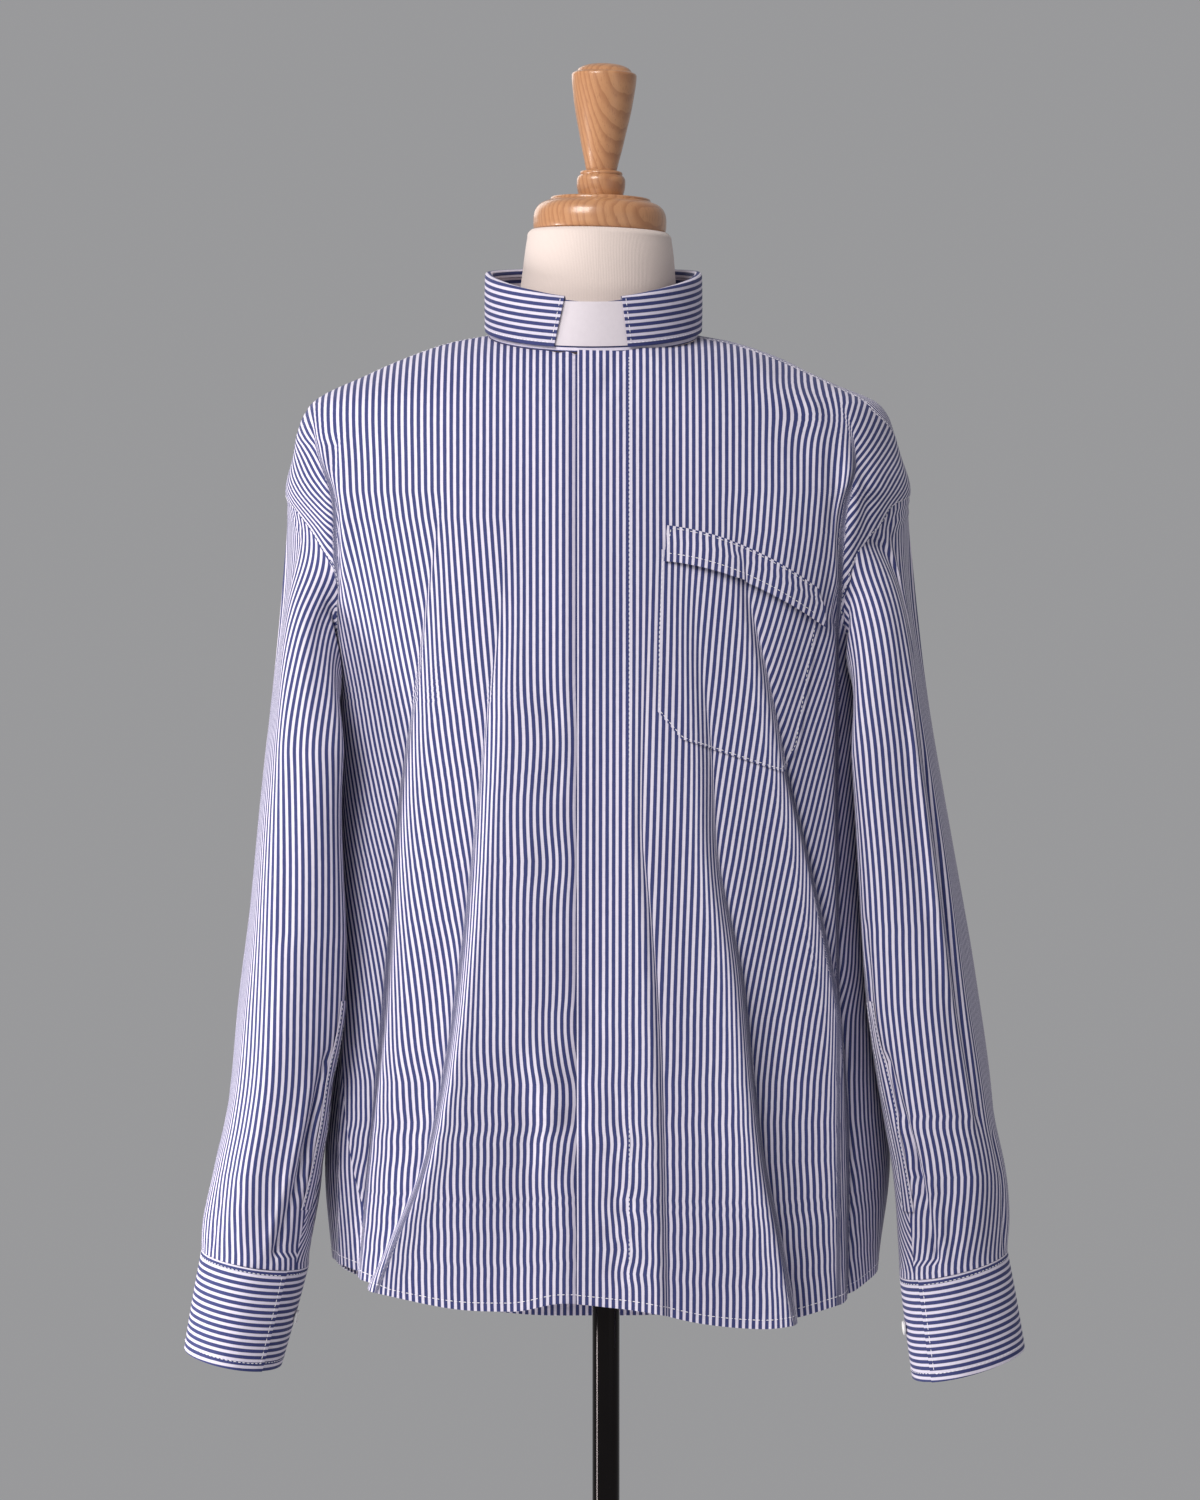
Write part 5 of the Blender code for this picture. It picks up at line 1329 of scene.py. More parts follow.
def cuff(side):
    turn = CUFF_END[side] - CUFF_LAP + np.linspace(0, 360 + CUFF_LAP, CUFF_AROUND)
    lift = (LAYER + 0.0005) * ease(*CUFF_RISES, turn - turn[0])
    outside, edge, inside = CUFF_ROWS
    roll, flat = np.linspace(0, math.pi, edge + 2)[1:-1], 1 - CUFF_ROLL
    shares = [*np.linspace(0, flat, outside), *(flat + CUFF_ROLL * np.sin(roll)),
              *np.linspace(flat, 0, inside)]
    depths = [*np.zeros(outside), *(-CUFF_DEEP / 2 * (1 - np.cos(roll)) * 0.9),
              *np.full(inside, -CUFF_DEEP * 0.9)]
    puff = 0.0004 * np.sin(np.pi * np.array(shares)) * (np.array(depths) > -1e-9)
    points = np.array([cuff_ring(side, s, turn, lift + d + p) for s, d, p in zip(shares, depths, puff)])
    down = -run_along(points)
    axis = cuff_ring(side, 0.5, np.arange(0, 360, 10)).mean(axis=0)
    # the cuff's colour gets an even painted shade
    return cloth_piece("cuff_" + side, points, -down, run_across(points), ("cuff_" + side,), axis=axis,
                       thickness=0.00034, shade=np.full(points.shape[:2], EVEN_PAINTED_SHADE))


def placket(side):
    turn = np.linspace(*PLACKET_TURNS, 12)
    made = sleeves[side]
    grid, normals = made["points"], made["normals"]
    drop = grid[:, :, 2].mean(axis=1)
    rows = np.interp(-np.linspace(*PLACKET_LEVELS, 34), -drop, np.arange(len(drop)))
    wanted = np.where(turn > SEAM_TURN[side], turn - 360, turn)
    cols = np.interp(wanted, made["turn"], np.arange(len(made["turn"])))
    strip, off = (sample(part, rows[:, None], cols[None, :]) for part in (grid, normals))
    points = strip + unit(off) * PLACKET_OFF
    return cloth_piece("placket_" + side, points, run_across(points), -run_along(points),
                       ("placket_" + side,), axis=(OUTWARD[side] * 0.262, -0.03, 0.86), thickness=0.0008)


def sample(grid, row, col):
    """A grid's value at fractional rows and columns."""
    row, col = np.clip(row, 0, grid.shape[0] - 1.001), np.clip(col, 0, grid.shape[1] - 1.001)
    row, col = np.broadcast_arrays(row, col)
    r, c = row.astype(int), col.astype(int)
    a, b = row - r, col - c
    if grid.ndim == 3:
        a, b = a[..., None], b[..., None]
    return ((grid[r, c] * (1 - b) + grid[r, c + 1] * b) * (1 - a)
            + (grid[r + 1, c] * (1 - b) + grid[r + 1, c + 1] * b) * a)


cuffs = {side: cuff(side) for side in ("right", "left")}
plackets = {side: placket(side) for side in ("right", "left")}
middle_up = cuffs["left"]["points"][:CUFF_ROWS[0], CUFF_AROUND // 2, 2]
print("cuff depth", round(float(np.ptp(middle_up)), 3), "m")

# %% [markdown]
# ## Collar and tab
# A tab collar stands straight up. Its cloth folds over the top and a few millimetres down the inside,
# and it stops each side of the throat, where a slip of smooth white plastic is tucked in. Behind
# them runs the neckband that the shirt's body is sewn to.

# %% Collar, neckband and tab
AROUND = (0, 90, 180)
FALL_BOTTOM = (0.003, 0.0045, 0.004)
FALL_TOP = (0.0405, 0.0495, 0.049)
FALL_THICK = 0.0016
FALL_OFF_BAND = 0.0014
FALL_TURN_IN = 0.006  # how far the collar comes down inside the band
FALL_INSIDE = -0.0031  # its face there, from the band's own
FALL_COLUMNS = 170
FALL_EDGES = (-18, 18.7)  # angles where the collar stops, each side of the tab
STRAIGHT = (26, 84)
FRONT_SLANT = ((-4, 1.7), (0.6, -2.7))  # degrees that each front edge moves at its bottom and its top
TAB_EDGES = (-30, 30)
TAB_THICK = 0.0008
TAB_REACH = (0.0046, 0.0385)


def neck_point(angle, up, out):
    """A place on the collar: up from the neckline, and out from the neckband's own face."""
    angle, up, out = np.broadcast_arrays(angle, up, out)
    base = smooth_body(angle, NECKLINE)
    beside = smooth_body(angle + 0.5, NECKLINE) - smooth_body(angle - 0.5, NECKLINE)
    flat = unit(np.stack([beside[..., 1], -beside[..., 0], 0 * angle], axis=-1))
    return base + flat * out[..., None] + np.stack([0 * up, 0 * up, up], axis=-1)


def around(angle, heights):
    return follow(np.abs((np.asarray(angle) + 180) % 360 - 180), AROUND, heights)


def straightened(angle, heights):
    """Heights round the neck that run straight, as seen from the front, from the throat to the sides."""
    away = np.abs((np.asarray(angle) + 180) % 360 - 180)
    near, far = around(STRAIGHT[0], heights), around(STRAIGHT[1], heights)
    low, high = np.sin(np.radians(STRAIGHT[0])), np.sin(np.radians(STRAIGHT[1]))
    share = (np.sin(np.radians(np.clip(away, *STRAIGHT))) - low) / (high - low)
    return np.where((away > STRAIGHT[0]) & (away < STRAIGHT[1]), near + (far - near) * share,
                    around(angle, heights))


def tab_white(start):
    place = own_place(start)
    mottle = cloudy(scaled(place, (300, 300, 300)), 1.0, 3.0)
    return {
        "Base Color": mixed(mottle, (0.665, 0.6, 0.645, 1), (0.715, 0.65, 0.695, 1)),
        "Roughness": 0.3 + mottle * 0.12,
        "Normal": bumped(mottle * 0.00004, 0.3),
    }


tab_finish = new_finish("tab_white", {"Specular IOR Level": 0.5}, tab_white)


def collar():
    def turns(share):
        (left_low, left_high), (right_low, right_high) = FRONT_SLANT
        return np.linspace(FALL_EDGES[1] + right_low + (right_high - right_low) * share,
                           360 + FALL_EDGES[0] + left_low + (left_high - left_low) * share, FALL_COLUMNS)

    face = FALL_OFF_BAND + FALL_THICK
    half = (face - FALL_INSIDE) / 2
    rows = []
    for s in np.linspace(0, 1, 16):
        turn = turns(s)
        bottom, top = around(turn, FALL_BOTTOM), straightened(turn, FALL_TOP)
        puff = 0.0003 * math.sin(math.pi * s)
        rows.append(neck_point(turn, bottom + (top - half - bottom) * s, face + puff))
    rows += [neck_point(turn, top - half + half * math.sin(a), face - half + half * math.cos(a))
             for a in np.linspace(0, math.pi, 9)[1:-1]]
    rows += [neck_point(turn, top - half - (FALL_TURN_IN - half) * s, FALL_INSIDE)
             for s in np.linspace(0, 1, 4)]
    points = np.array(rows)
    # the collar's colour gets an even painted shade, 1.6 times that of the cuffs
    return cloth_piece("collar", points, run_along(points) + 0.0012, run_across(points), ("collar",),
                       axis=(0, 0, 1.0), thickness=0.0011, edge=np.ones(points.shape[:2]),
                       shade=np.full(points.shape[:2], EVEN_PAINTED_SHADE * 1.6))


def neckband():
    turn = np.linspace(0, 360, 181)
    up = SEAM_GAP + (around(turn, FALL_TOP) - 0.0028 - SEAM_GAP) * np.linspace(0, 1, 10)[:, None]
    points = neck_point(turn, up, 0.0)
    return cloth_piece("neckband", points, run_along(points) + 0.003, run_across(points), ("neckband",),
                       closed=True, thickness=0.001, edge=np.ones(points.shape[:2]))


def tab():
    turn = np.linspace(*TAB_EDGES, 42)
    up = np.linspace(*TAB_REACH, 12)[:, None]
    points = neck_point(turn, up, SEAM_GAP + TAB_THICK)
    return cloth_piece("tab_insert", points, run_across(points), run_along(points), ("tab_insert",),
                       finish=tab_finish, thickness=TAB_THICK,
                       edge=np.ones(points.shape[:2]))


collar_piece, band_piece = collar(), neckband()
tab()
stands = float(np.ptp(collar_piece["points"][..., 2]))
print("collar stands", round(stands, 3), "m from its lowest to its highest point")

# %% [markdown]
# ## Pocket and flap
# Both lie on the wearer's left front, and their stripes nearly meet those of the cloth below, so they
# are cut from a copy of that front: straight cuts through the mesh leave the outline, and the UV map
# comes along. The flap's edges are arched, so its copy is bent flat before it is cut and bent back after.

# %% Pocket and flap
POCKET = ((0.0412, 1.2854), (0.0382, 1.22), (0.038, 1.1645), (0.0562, 1.1432), (0.1326, 1.1185),
          (0.1446, 1.1387), (0.1608, 1.238), (0.13, 1.2575), (0.101, 1.2712), (0.075, 1.2797))
FLAP = ((0.0457, 1.302), (0.0427, 1.2758), (0.1618, 1.2286), (0.1603, 1.2563))
FLAP_ARCH = (0.101, 0.06, 0.0095)  # middle, half-length and rise of the flap's arched edges
FLAP_DROPS = (0.014, 0.024)  # the flap comes down to the front between these heights above its edge
POCKET_OFF = 0.0014  # outer face above the front's
POCKET_THICK = 0.0007
STRIPES_MISS = {"pocket": 0.001, "pocket_flap": 0.0024}
FLAP_OFF = 0.007
FLAP_GAPES = (0.03, 0.08)  # its bottom edge stands off more towards the arm


def flap_arch(x):
    middle, half, rise = FLAP_ARCH
    return rise * (1 - ((x - middle) / half) ** 2)


def flap_height(place):
    """How far a place of the flap is above its bottom edge."""
    (ax, az), (bx, bz) = FLAP[1], FLAP[2]
    return place.z - flap_arch(place.x) - az - (bz - az) * (place.x - ax) / (bx - ax)


def cut_from_front(name, outline, lift_at, warp=None):
    """A piece with this outline in the front view, cut from the left front and lifted off it."""
    made = fronts["left"]
    bm = grid_mesh(made["points"], made["across"] + STRIPES_MISS[name], made["along"])
    if warp:
        for vert in bm.verts:
            vert.co.z -= warp(vert.co.x)
    for (ax, az), (bx, bz) in zip(outline, outline[1:] + outline[:1]):
        bmesh.ops.bisect_plane(bm, geom=bm.verts[:] + bm.edges[:] + bm.faces[:], plane_co=(ax, 0, az),
                               plane_no=(bz - az, 0, ax - bx), clear_outer=True)
    if warp:
        for vert in bm.verts:
            vert.co.z += warp(vert.co.x)
    bmesh.ops.recalc_face_normals(bm, faces=bm.faces)
    if sum(face.normal.y for face in bm.faces) > 0:
        bmesh.ops.reverse_faces(bm, faces=bm.faces)
    bm.normal_update()
    moves = {vert: vert.normal * lift_at(vert.co) for vert in bm.verts}
    for vert, move in moves.items():
        vert.co += move
    tree = BVHTree.FromBMesh(bm)
    area = sum(face.calc_area() for face in bm.faces)
    piece = finished(name, bm, shirting_finish, (name,))
    walled(piece, POCKET_THICK)
    return {"object": piece, "tree": tree, "area": area, "stitches": []}


def flap_lift(place):
    off = POCKET_OFF + (FLAP_OFF - POCKET_OFF) * (0.25 + 0.75 * float(ease(*FLAP_GAPES, place.x)))
    return off - (off - POCKET_OFF) * float(ease(*FLAP_DROPS, flap_height(place)))


pocket = cut_from_front("pocket", POCKET, lambda place: POCKET_OFF)
flap = cut_from_front("pocket_flap", FLAP, flap_lift, flap_arch)
print("pocket", round(pocket["area"] * 1e4), "and flap", round(flap["area"] * 1e4), "square centimetres")

# %% [markdown]
# ## Stitches
# Machine stitches are what makes cloth look sewn: short white threads, two and a half millimetres each,
# that sink a little at both ends. A row is measured out along a line on the cloth, and each stitch is a
# small stretched ball of few faces, because there are thousands of them.

# %% Stitch rows
STITCH = 0.0026
STITCH_GAP = 0.0008
THREAD_WIDE = 0.00062
HEM_TURNED = 0.0068  # from the hem's edge to its stitches
TOPSTITCH = 0.0022  # from a seam to its stitches
FLY_STITCH = 0.0173  # x of the stitches that hold the fly's layers
YOKE_TOPSTITCH = 0.0024
EDGE_STITCH = 0.0016  # from the edges of pocket, flap and placket
FLAP_STITCH = 0.0066  # above the flap's bottom corners
CUFF_STITCHED = (19.4, 0.9)  # rows of its points, near the bottom and the top
CUFF_END_STITCHED = 117.4  # and the column near its end
COLLAR_STITCHED = (1.2, 17)  # rows at the collar's foot and at its top
SEAM_ENDS = 0.002


def thread_white(start):
    twist = (own_place(start).part("Z") * 9000).wave() * 0.5 + 0.5
    return {"Base Color": mixed(twist, (0.8, 0.77, 0.82, 1), (0.92, 0.89, 0.94, 1)),
            "Roughness": 0.45 + twist * 0.15}


thread_finish = new_finish("thread_white", {"Sheen Weight": 0.2}, thread_white)


def stitch_row(name, owner, lines, lift=0.00016, wide=THREAD_WIDE):
    """Rows of stitches along lines of points with normals, as one piece that goes with the owner."""
    bm = bmesh.new()
    count = 0
    for points, normals in lines:
        run = np.concatenate([[0], np.cumsum(np.linalg.norm(np.diff(points, axis=0), axis=1))])
        for start in np.arange(0.001, run[-1] - STITCH, STITCH + STITCH_GAP):
            a, b = (mathutils.Vector([np.interp(s, run, points[:, i]) for i in range(3)])
                    for s in (start, start + STITCH))
            up = mathutils.Vector([np.interp(start + STITCH / 2, run, normals[:, i]) for i in range(3)])
            lengthwise = (b - a).normalized()
            side = up.cross(lengthwise).normalized()
            up = lengthwise.cross(side)
            turn = mathutils.Matrix((lengthwise, side, up)).transposed().to_4x4()
            size = mathutils.Matrix.Diagonal((STITCH / 2, wide / 2, wide * 0.36, 1))
            place = mathutils.Matrix.Translation((a + b) / 2 + up * lift)
            bmesh.ops.create_uvsphere(bm, u_segments=6, v_segments=4, radius=1, matrix=place @ turn @ size)
            count += 1
    piece = finished(name, bm, thread_finish, sharp=math.pi)
    owner["stitches"].append(piece)
    return count


def grid_line(made, rows, cols):
    return sample(made["points"], rows, cols), unit(sample(made["normals"], rows, cols))


def edge_line(made, distance, follows, last=False):
    """A line this far from the piece's first row or column of points, or from its last."""
    run = run_along(made["points"]) if follows == "rows" else run_across(made["points"]).T
    steps = np.arange(len(run))
    away = np.array([np.interp(line[-1] - distance if last else distance, line, steps) for line in run.T])
    along = np.arange(run.shape[1]).astype(float)
    return (away, along) if follows == "rows" else (along, away)


def within(line, made, low, high):
    """The part of a line between two heights."""
    rows, cols = line
    z = sample(made["points"][..., 2], rows, cols)
    keep = (z > low) & (z < high)
    return rows[keep], cols[keep]


count = 0
for side, made in fronts.items():
    lines = [grid_line(made, *edge_line(made, HEM_TURNED, "rows"))]
    outer = edge_line(made, TOPSTITCH, "columns", side == "left")
    lines.append(grid_line(made, *within(outer, made, UNDERARM + SEAM_ENDS, ARMHOLE_TOP - SEAM_ENDS)))
    if side == "left":
        rows = np.arange(2, len(made["points"]) - 1).astype(float)
        steps = np.arange(FRONT_COLUMNS)
        cols = np.array([np.interp(FLY_STITCH, made["points"][int(r), :, 0], steps) for r in rows])
        lines.append(grid_line(made, rows, cols))
    count += stitch_row("stitches_front_" + side, made, lines)
lines = [grid_line(back, *edge_line(back, HEM_TURNED, "rows"))]
for last in (False, True):
    side_line = edge_line(back, TOPSTITCH, "columns", last)
    side_line = within(side_line, back, UNDERARM + SEAM_ENDS, YOKE_AT_ARMHOLE - 2 * SEAM_ENDS)
    lines.append(grid_line(back, *side_line))
count += stitch_row("stitches_back", back, lines)
lines = [grid_line(yoke, *edge_line(yoke, YOKE_TOPSTITCH, "rows"))]
lines += [grid_line(yoke, *edge_line(yoke, TOPSTITCH, "columns", last)) for last in (False, True)]
count += stitch_row("stitches_yoke", yoke, lines)
for side, made in cuffs.items():
    cols = np.arange(CUFF_AROUND - 1.0)
    bottom, top = (grid_line(made, np.full(len(cols), row), cols) for row in CUFF_STITCHED)
    end = grid_line(made, np.linspace(1.0, CUFF_STITCHED[0], 24), np.full(24, CUFF_END_STITCHED))
    count += stitch_row("stitches_cuff_" + side, made, [bottom, top, end])
for side, made in plackets.items():
    lines = [grid_line(made, *edge_line(made, EDGE_STITCH, "columns", last)) for last in (False, True)]
    count += stitch_row("stitches_placket_" + side, made, lines)
cols = np.arange(FALL_COLUMNS - 1.0)
lines = [grid_line(collar_piece, np.full(len(cols), COLLAR_STITCHED[0]), cols)]
lines += [grid_line(collar_piece, np.linspace(*COLLAR_STITCHED, 24), np.full(24, col))
          for col in (1.0, cols[-1])]
count += stitch_row("stitches_collar", collar_piece, lines)
print(count, "stitches on the panels")


# %% Stitches on pocket and flap
def on_piece(made, outline, steps=14):
    """A line of points in the front view, laid onto the front of a cut piece."""
    points, normals = [], []
    for (ax, az), (bx, bz) in zip(outline, outline[1:]):
        for t in np.linspace(0, 1, steps)[:-1]:
            x, z = ax + (bx - ax) * t, az + (bz - az) * t
            hit, normal, _, _ = made["tree"].ray_cast((x, -1, z), (0, 1, 0))
            if hit is not None:
                points.append(hit)
                normals.append(normal)
    return np.array(points), np.array(normals)


def drawn_in(outline, by):
    """An outline moved towards its own middle by a distance."""
    middle = np.mean(outline, axis=0)
    made = []
    for i, corner in enumerate(outline):
        corner = np.array(corner)
        before, after = np.array(outline[i - 1]), np.array(outline[(i + 1) % len(outline)])
        a, b = unit(corner - before), unit(after - corner)
        out = np.array((a[1] + b[1], -a[0] - b[0]))
        out = out / max(np.linalg.norm(out), 1e-9)
        out = out * np.sign(out @ (corner - middle))
        made.append(tuple(corner - out * by / max(0.5, abs(out @ np.array((b[1], -b[0]))))))
    return made


def flap_edge(start, end, up, steps=40):
    """A line between two corners of the flap that keeps to its arch."""
    t = np.linspace(0, 1, steps)
    x = start[0] + (end[0] - start[0]) * t
    return [(a, b + flap_arch(a) + up) for a, b in zip(x, start[1] + (end[1] - start[1]) * t)]


inner = drawn_in(POCKET[:7], EDGE_STITCH)
count = stitch_row("stitches_pocket", pocket, [on_piece(pocket, inner)])
top = flap_edge(FLAP[0], FLAP[3], -EDGE_STITCH)
low = flap_edge(FLAP[1], FLAP[2], FLAP_STITCH)
left = [top[1], low[1]]
right = [top[-2], low[-2]]
lines = [on_piece(flap, line, 3) for line in (top[1:-1], low[1:-1])]
lines += [on_piece(flap, line, 16) for line in (left, right)]
count += stitch_row("stitches_flap", flap, lines)
print(count, "stitches on the pocket and its flap")

# %% [markdown]
# ## Cuff buttons
# Each is a small four-hole button with a raised rim, on the under end of the cuff. It is turned from its
# profile, and the thread crosses between its holes.

# %% Cuff buttons
BUTTON_PROFILE = ((0, 0.0014), (0.0034, 0.0014), (0.004, 0.0018), (0.0047, 0.0024), (0.0052, 0.0023),
                  (0.0055, 0.0018), (0.0055, 0.001), (0.005, 0.0003), (0.004, 0), (0, 0))
BUTTON_FROM_END = 42.0
HOLE_OUT = 0.0013


def button_white(start):
    place = own_place(start)
    cloud = cloudy(scaled(place, (420, 420, 160)), 1.0, 2.0)
    return {"Base Color": mixed(cloud, (0.74, 0.73, 0.72, 1), (0.88, 0.87, 0.86, 1)),
            "Roughness": 0.18 + cloud * 0.14}


button_finish = new_finish("button_white", {"Coat Weight": 0.3}, button_white)


def turned(bm, profile, steps, matrix):
    """Spins a profile of (radius, height) about the upright axis and puts it in place."""
    verts = [bm.verts.new((radius, 0, height)) for radius, height in profile]
    edges = [bm.edges.new(pair) for pair in zip(verts, verts[1:])]
    bmesh.ops.spin(bm, geom=verts + edges, cent=(0, 0, 0), axis=(0, 0, 1), angle=math.tau, steps=steps,
                   use_merge=True)
    bmesh.ops.remove_doubles(bm, verts=bm.verts, dist=0.00001)
    bmesh.ops.recalc_face_normals(bm, faces=bm.faces)
    bmesh.ops.transform(bm, matrix=matrix, verts=bm.verts)


def cuff_button(side):
    at = CUFF_END[side] + BUTTON_FROM_END
    base = mathutils.Vector(cuff_ring(side, 0.5, at))
    up = mathutils.Vector(cuff_ring(side, 0.4, at)) - base
    out = up.cross(mathutils.Vector(cuff_ring(side, 0.5, at + 5)) - base) * OUTWARD[side]
    out.normalize()
    place = mathutils.Matrix.Translation(base + out * 0.0005)
    place = place @ out.to_track_quat("Z", "Y").to_matrix().to_4x4()
    bm = bmesh.new()
    turned(bm, BUTTON_PROFILE, 36, place)
    finished("cuff_button_" + side, bm, button_finish, ("cuff_button_" + side,))
    bm = bmesh.new()
    for turn in (45, 135):
        lay = mathutils.Matrix.Rotation(math.radians(turn), 4, "Z")
        size = mathutils.Matrix.Diagonal((HOLE_OUT + 0.0004, 0.0003, 0.0003, 1))
        bmesh.ops.create_uvsphere(bm, u_segments=8, v_segments=6, radius=1,
                                  matrix=place @ mathutils.Matrix.Translation((0, 0, 0.0015)) @ lay @ size)
    return finished("button_thread_" + side, bm, thread_finish, sharp=math.pi)


for side in ("right", "left"):
    cuff_button(side)
print("two cuff buttons of", 2000 * BUTTON_PROFILE[5][0], "mm")

# %% [markdown]
# ## The dress form
# The form is padded and covered in cream jersey, whose fine ribs run up the neck. It is one smooth body
# of rings, closed at both ends. Its ribs come from its own UV map, measured round it.

# %% Jersey
RIB = 0.00125


def jersey(start):
    cloth = cloth_place(start)
    across = cloth.part("X")
    along = cloth.part("Y")
    drift = cloudy(scaled(cloth, (60, 30, 1)), 1.0, 2.0)
    rib = ((across + drift * 0.0008) * (math.tau / RIB)).wave() * 0.5 + 0.5
    loops = (along * (math.tau / 0.0011)).wave() * 0.5 + 0.5
    fuzz = cloudy(scaled(cloth, (900, 900, 1)), 1.0, 3.0)
    tone = rib * 0.45 + loops * 0.15 + fuzz * 0.4
    shade = mixed(tone, (0.64, 0.535, 0.49, 1), (0.77, 0.65, 0.6, 1))
    relief = rib * 0.00014 + loops * 0.00004 + fuzz * 0.0001 + drift * 0.0003
    return {"Base Color": shade, "Roughness": 0.82 + fuzz * 0.1,
            "Normal": bumped(relief, 0.7)}


jersey_finish = new_finish("form_jersey", {"Sheen Weight": 0.25, "Specular IOR Level": 0.2}, jersey)

# %% The form's body
FORM_RINGS = (
    (0.8, 0, 0.158, 0.102, 0.104, 2.1, 0),
    (0.806, 0, 0.166, 0.109, 0.111, 2.1, 0),
    (0.825, 0, 0.169, 0.111, 0.113, 2.1, 0),
    (0.87, 0, 0.168, 0.109, 0.112, 2.1, 0),
    (0.93, 0, 0.16, 0.105, 0.104, 2.1, 0),
    (1.02, 0, 0.15, 0.105, 0.098, 2.15, 0),
    (1.12, -0.003, 0.157, 0.113, 0.106, 2.2, 0),
    (1.21, -0.006, 0.17, 0.12, 0.115, 2.25, 0),
    (1.28, -0.007, 0.188, 0.122, 0.119, 2.25, 0),
    (1.334, -0.008, 0.208, 0.116, 0.118, 2.15, 0),
    (1.36, -0.008, 0.217, 0.111, 0.114, 2.08, 0),
    (1.38, -0.008, 0.2215, 0.1065, 0.1105, 2.05, 0.01),
)
FORM_UNDER_CLOTH = 0.003  # how far the form's shoulders lie under the cloth's outer face
NECK_RINGS = (
    (1.457, -0.008, 0.069, 0.065, 0.064, 2, 0.15),
    (1.465, -0.007, 0.0635, 0.06, 0.06, 2, 0.08),
    (1.49, -0.006, 0.06, 0.058, 0.058, 2, 0),
    (1.527, -0.005, 0.0556, 0.0545, 0.0545, 2, 0),
    (1.5312, -0.005, 0.0548, 0.0537, 0.0537, 2, 0),
    (1.5335, -0.0049, 0.0525, 0.0515, 0.0515, 2, 0),
)
CAP_LEAN = math.radians(1.7)  # the neck's top, its cap and the finial lean a little to the wearer's left
NECK_TOP = (-0.0049, 0, 1.5335)
FORM_COLUMNS = 128
NECK_GIRTH = 0.372


def lean(points):
    """Leans the neck's top towards the wearer's left."""
    share = ease(NECK_RINGS[2][0], NECK_RINGS[3][0], points[..., 2])
    moved = points.copy()
    moved[..., 2] -= (points[..., 0] - NECK_TOP[0]) * math.tan(CAP_LEAN) * share
    return moved


def form_body():
    turn = np.linspace(0, 360, FORM_COLUMNS + 1)
    shape, neck = read(BODY_COLUMNS, FORM_RINGS), read(BODY_COLUMNS, NECK_RINGS)
    rings = [ring_point(turn, level, shape) for level in np.linspace(0.8, 1.38, 74)]
    for level in np.linspace(1.388, NECKLINE - 0.0005, 18):
        inside = FORM_UNDER_CLOTH * unit(ring_point(turn, level, BODY) * (1, 1, 0))
        sunk = ring_point(turn, level, BODY) - inside - np.array((0, 0, FORM_UNDER_CLOTH * 0.8))
        rings.append(sunk)
    levels = [1.457, 1.459, 1.4615, *np.linspace(1.465, 1.527, 22),
              1.5285, 1.53, 1.5312, 1.5322, 1.533, 1.5335]
    rings += [lean(ring_point(turn, level, neck)) for level in levels]
    return np.array(rings)


def dress_form():
    points = form_body()
    girth = np.broadcast_to(np.linspace(0, NECK_GIRTH, points.shape[1]), points.shape[:2])
    bm = grid_mesh(points, girth, run_along(points))
    bmesh.ops.remove_doubles(bm, verts=bm.verts, dist=0.00001)
    bmesh.ops.holes_fill(bm, edges=[edge for edge in bm.edges if edge.is_boundary], sides=0)
    bmesh.ops.recalc_face_normals(bm, faces=bm.faces)
    return finished("form_body", bm, jersey_finish, ("form_torso",))


dress_form()
print("the form stands from 0.8 m to", NECK_TOP[2], "m")

# %% [markdown]
# ## Turned wood
# The cap and the finial are turned from one blond board. Growth rings cut by a lathe show as bands where
# the grain runs along and as nested arches on a cone. The rings are drawn as distances from a far,
# slightly tilted axis, bent by noise, with short dark pores along the grain and varnish over all.

# %% Varnished wood
def turned_wood(start):
    place = own_place(start)
    board = place.node("ShaderNodeMapping", {}, {"Vector": place, "Location": (0.031, 0.06, -1.3),
                                                  "Rotation": (0.16, 0.1, 0.35)})
    bend = cloudy(scaled(board, (26, 26, 7)), 1.0, 3.0)
    x, y = board.part("X"), board.part("Y")
    out = x.math("SQRT", x * x + y * y) + bend * 0.016
    ring = (out * 230).fraction()
    late = ring.rise(0.35, 0.92) * (1 - ring.rise(0.93, 1.0))
    pores = cloudy(scaled(board, (900, 900, 60)), 1.0, 2.0).rise(0.56, 0.7)
    cloud = cloudy(scaled(board, (40, 40, 12)), 1.0, 2.0)
    blond = mixed(cloud, (0.43, 0.195, 0.088, 1), (0.56, 0.285, 0.135, 1))
    grain = mixed(late * 0.45, blond, (0.27, 0.095, 0.036, 1))
    return {
        "Base Color": mixed(pores * 0.28, grain, (0.25, 0.095, 0.04, 1)),
        "Roughness": 0.3 + cloud * 0.12,
        "Normal": bumped(late * 0.00006 - pores * 0.00005, 0.35),
    }


wood_finish = new_finish("turned_wood", {"Coat Weight": 0.55, "Coat Roughness": 0.16,
                                         "Specular IOR Level": 0.45}, turned_wood)

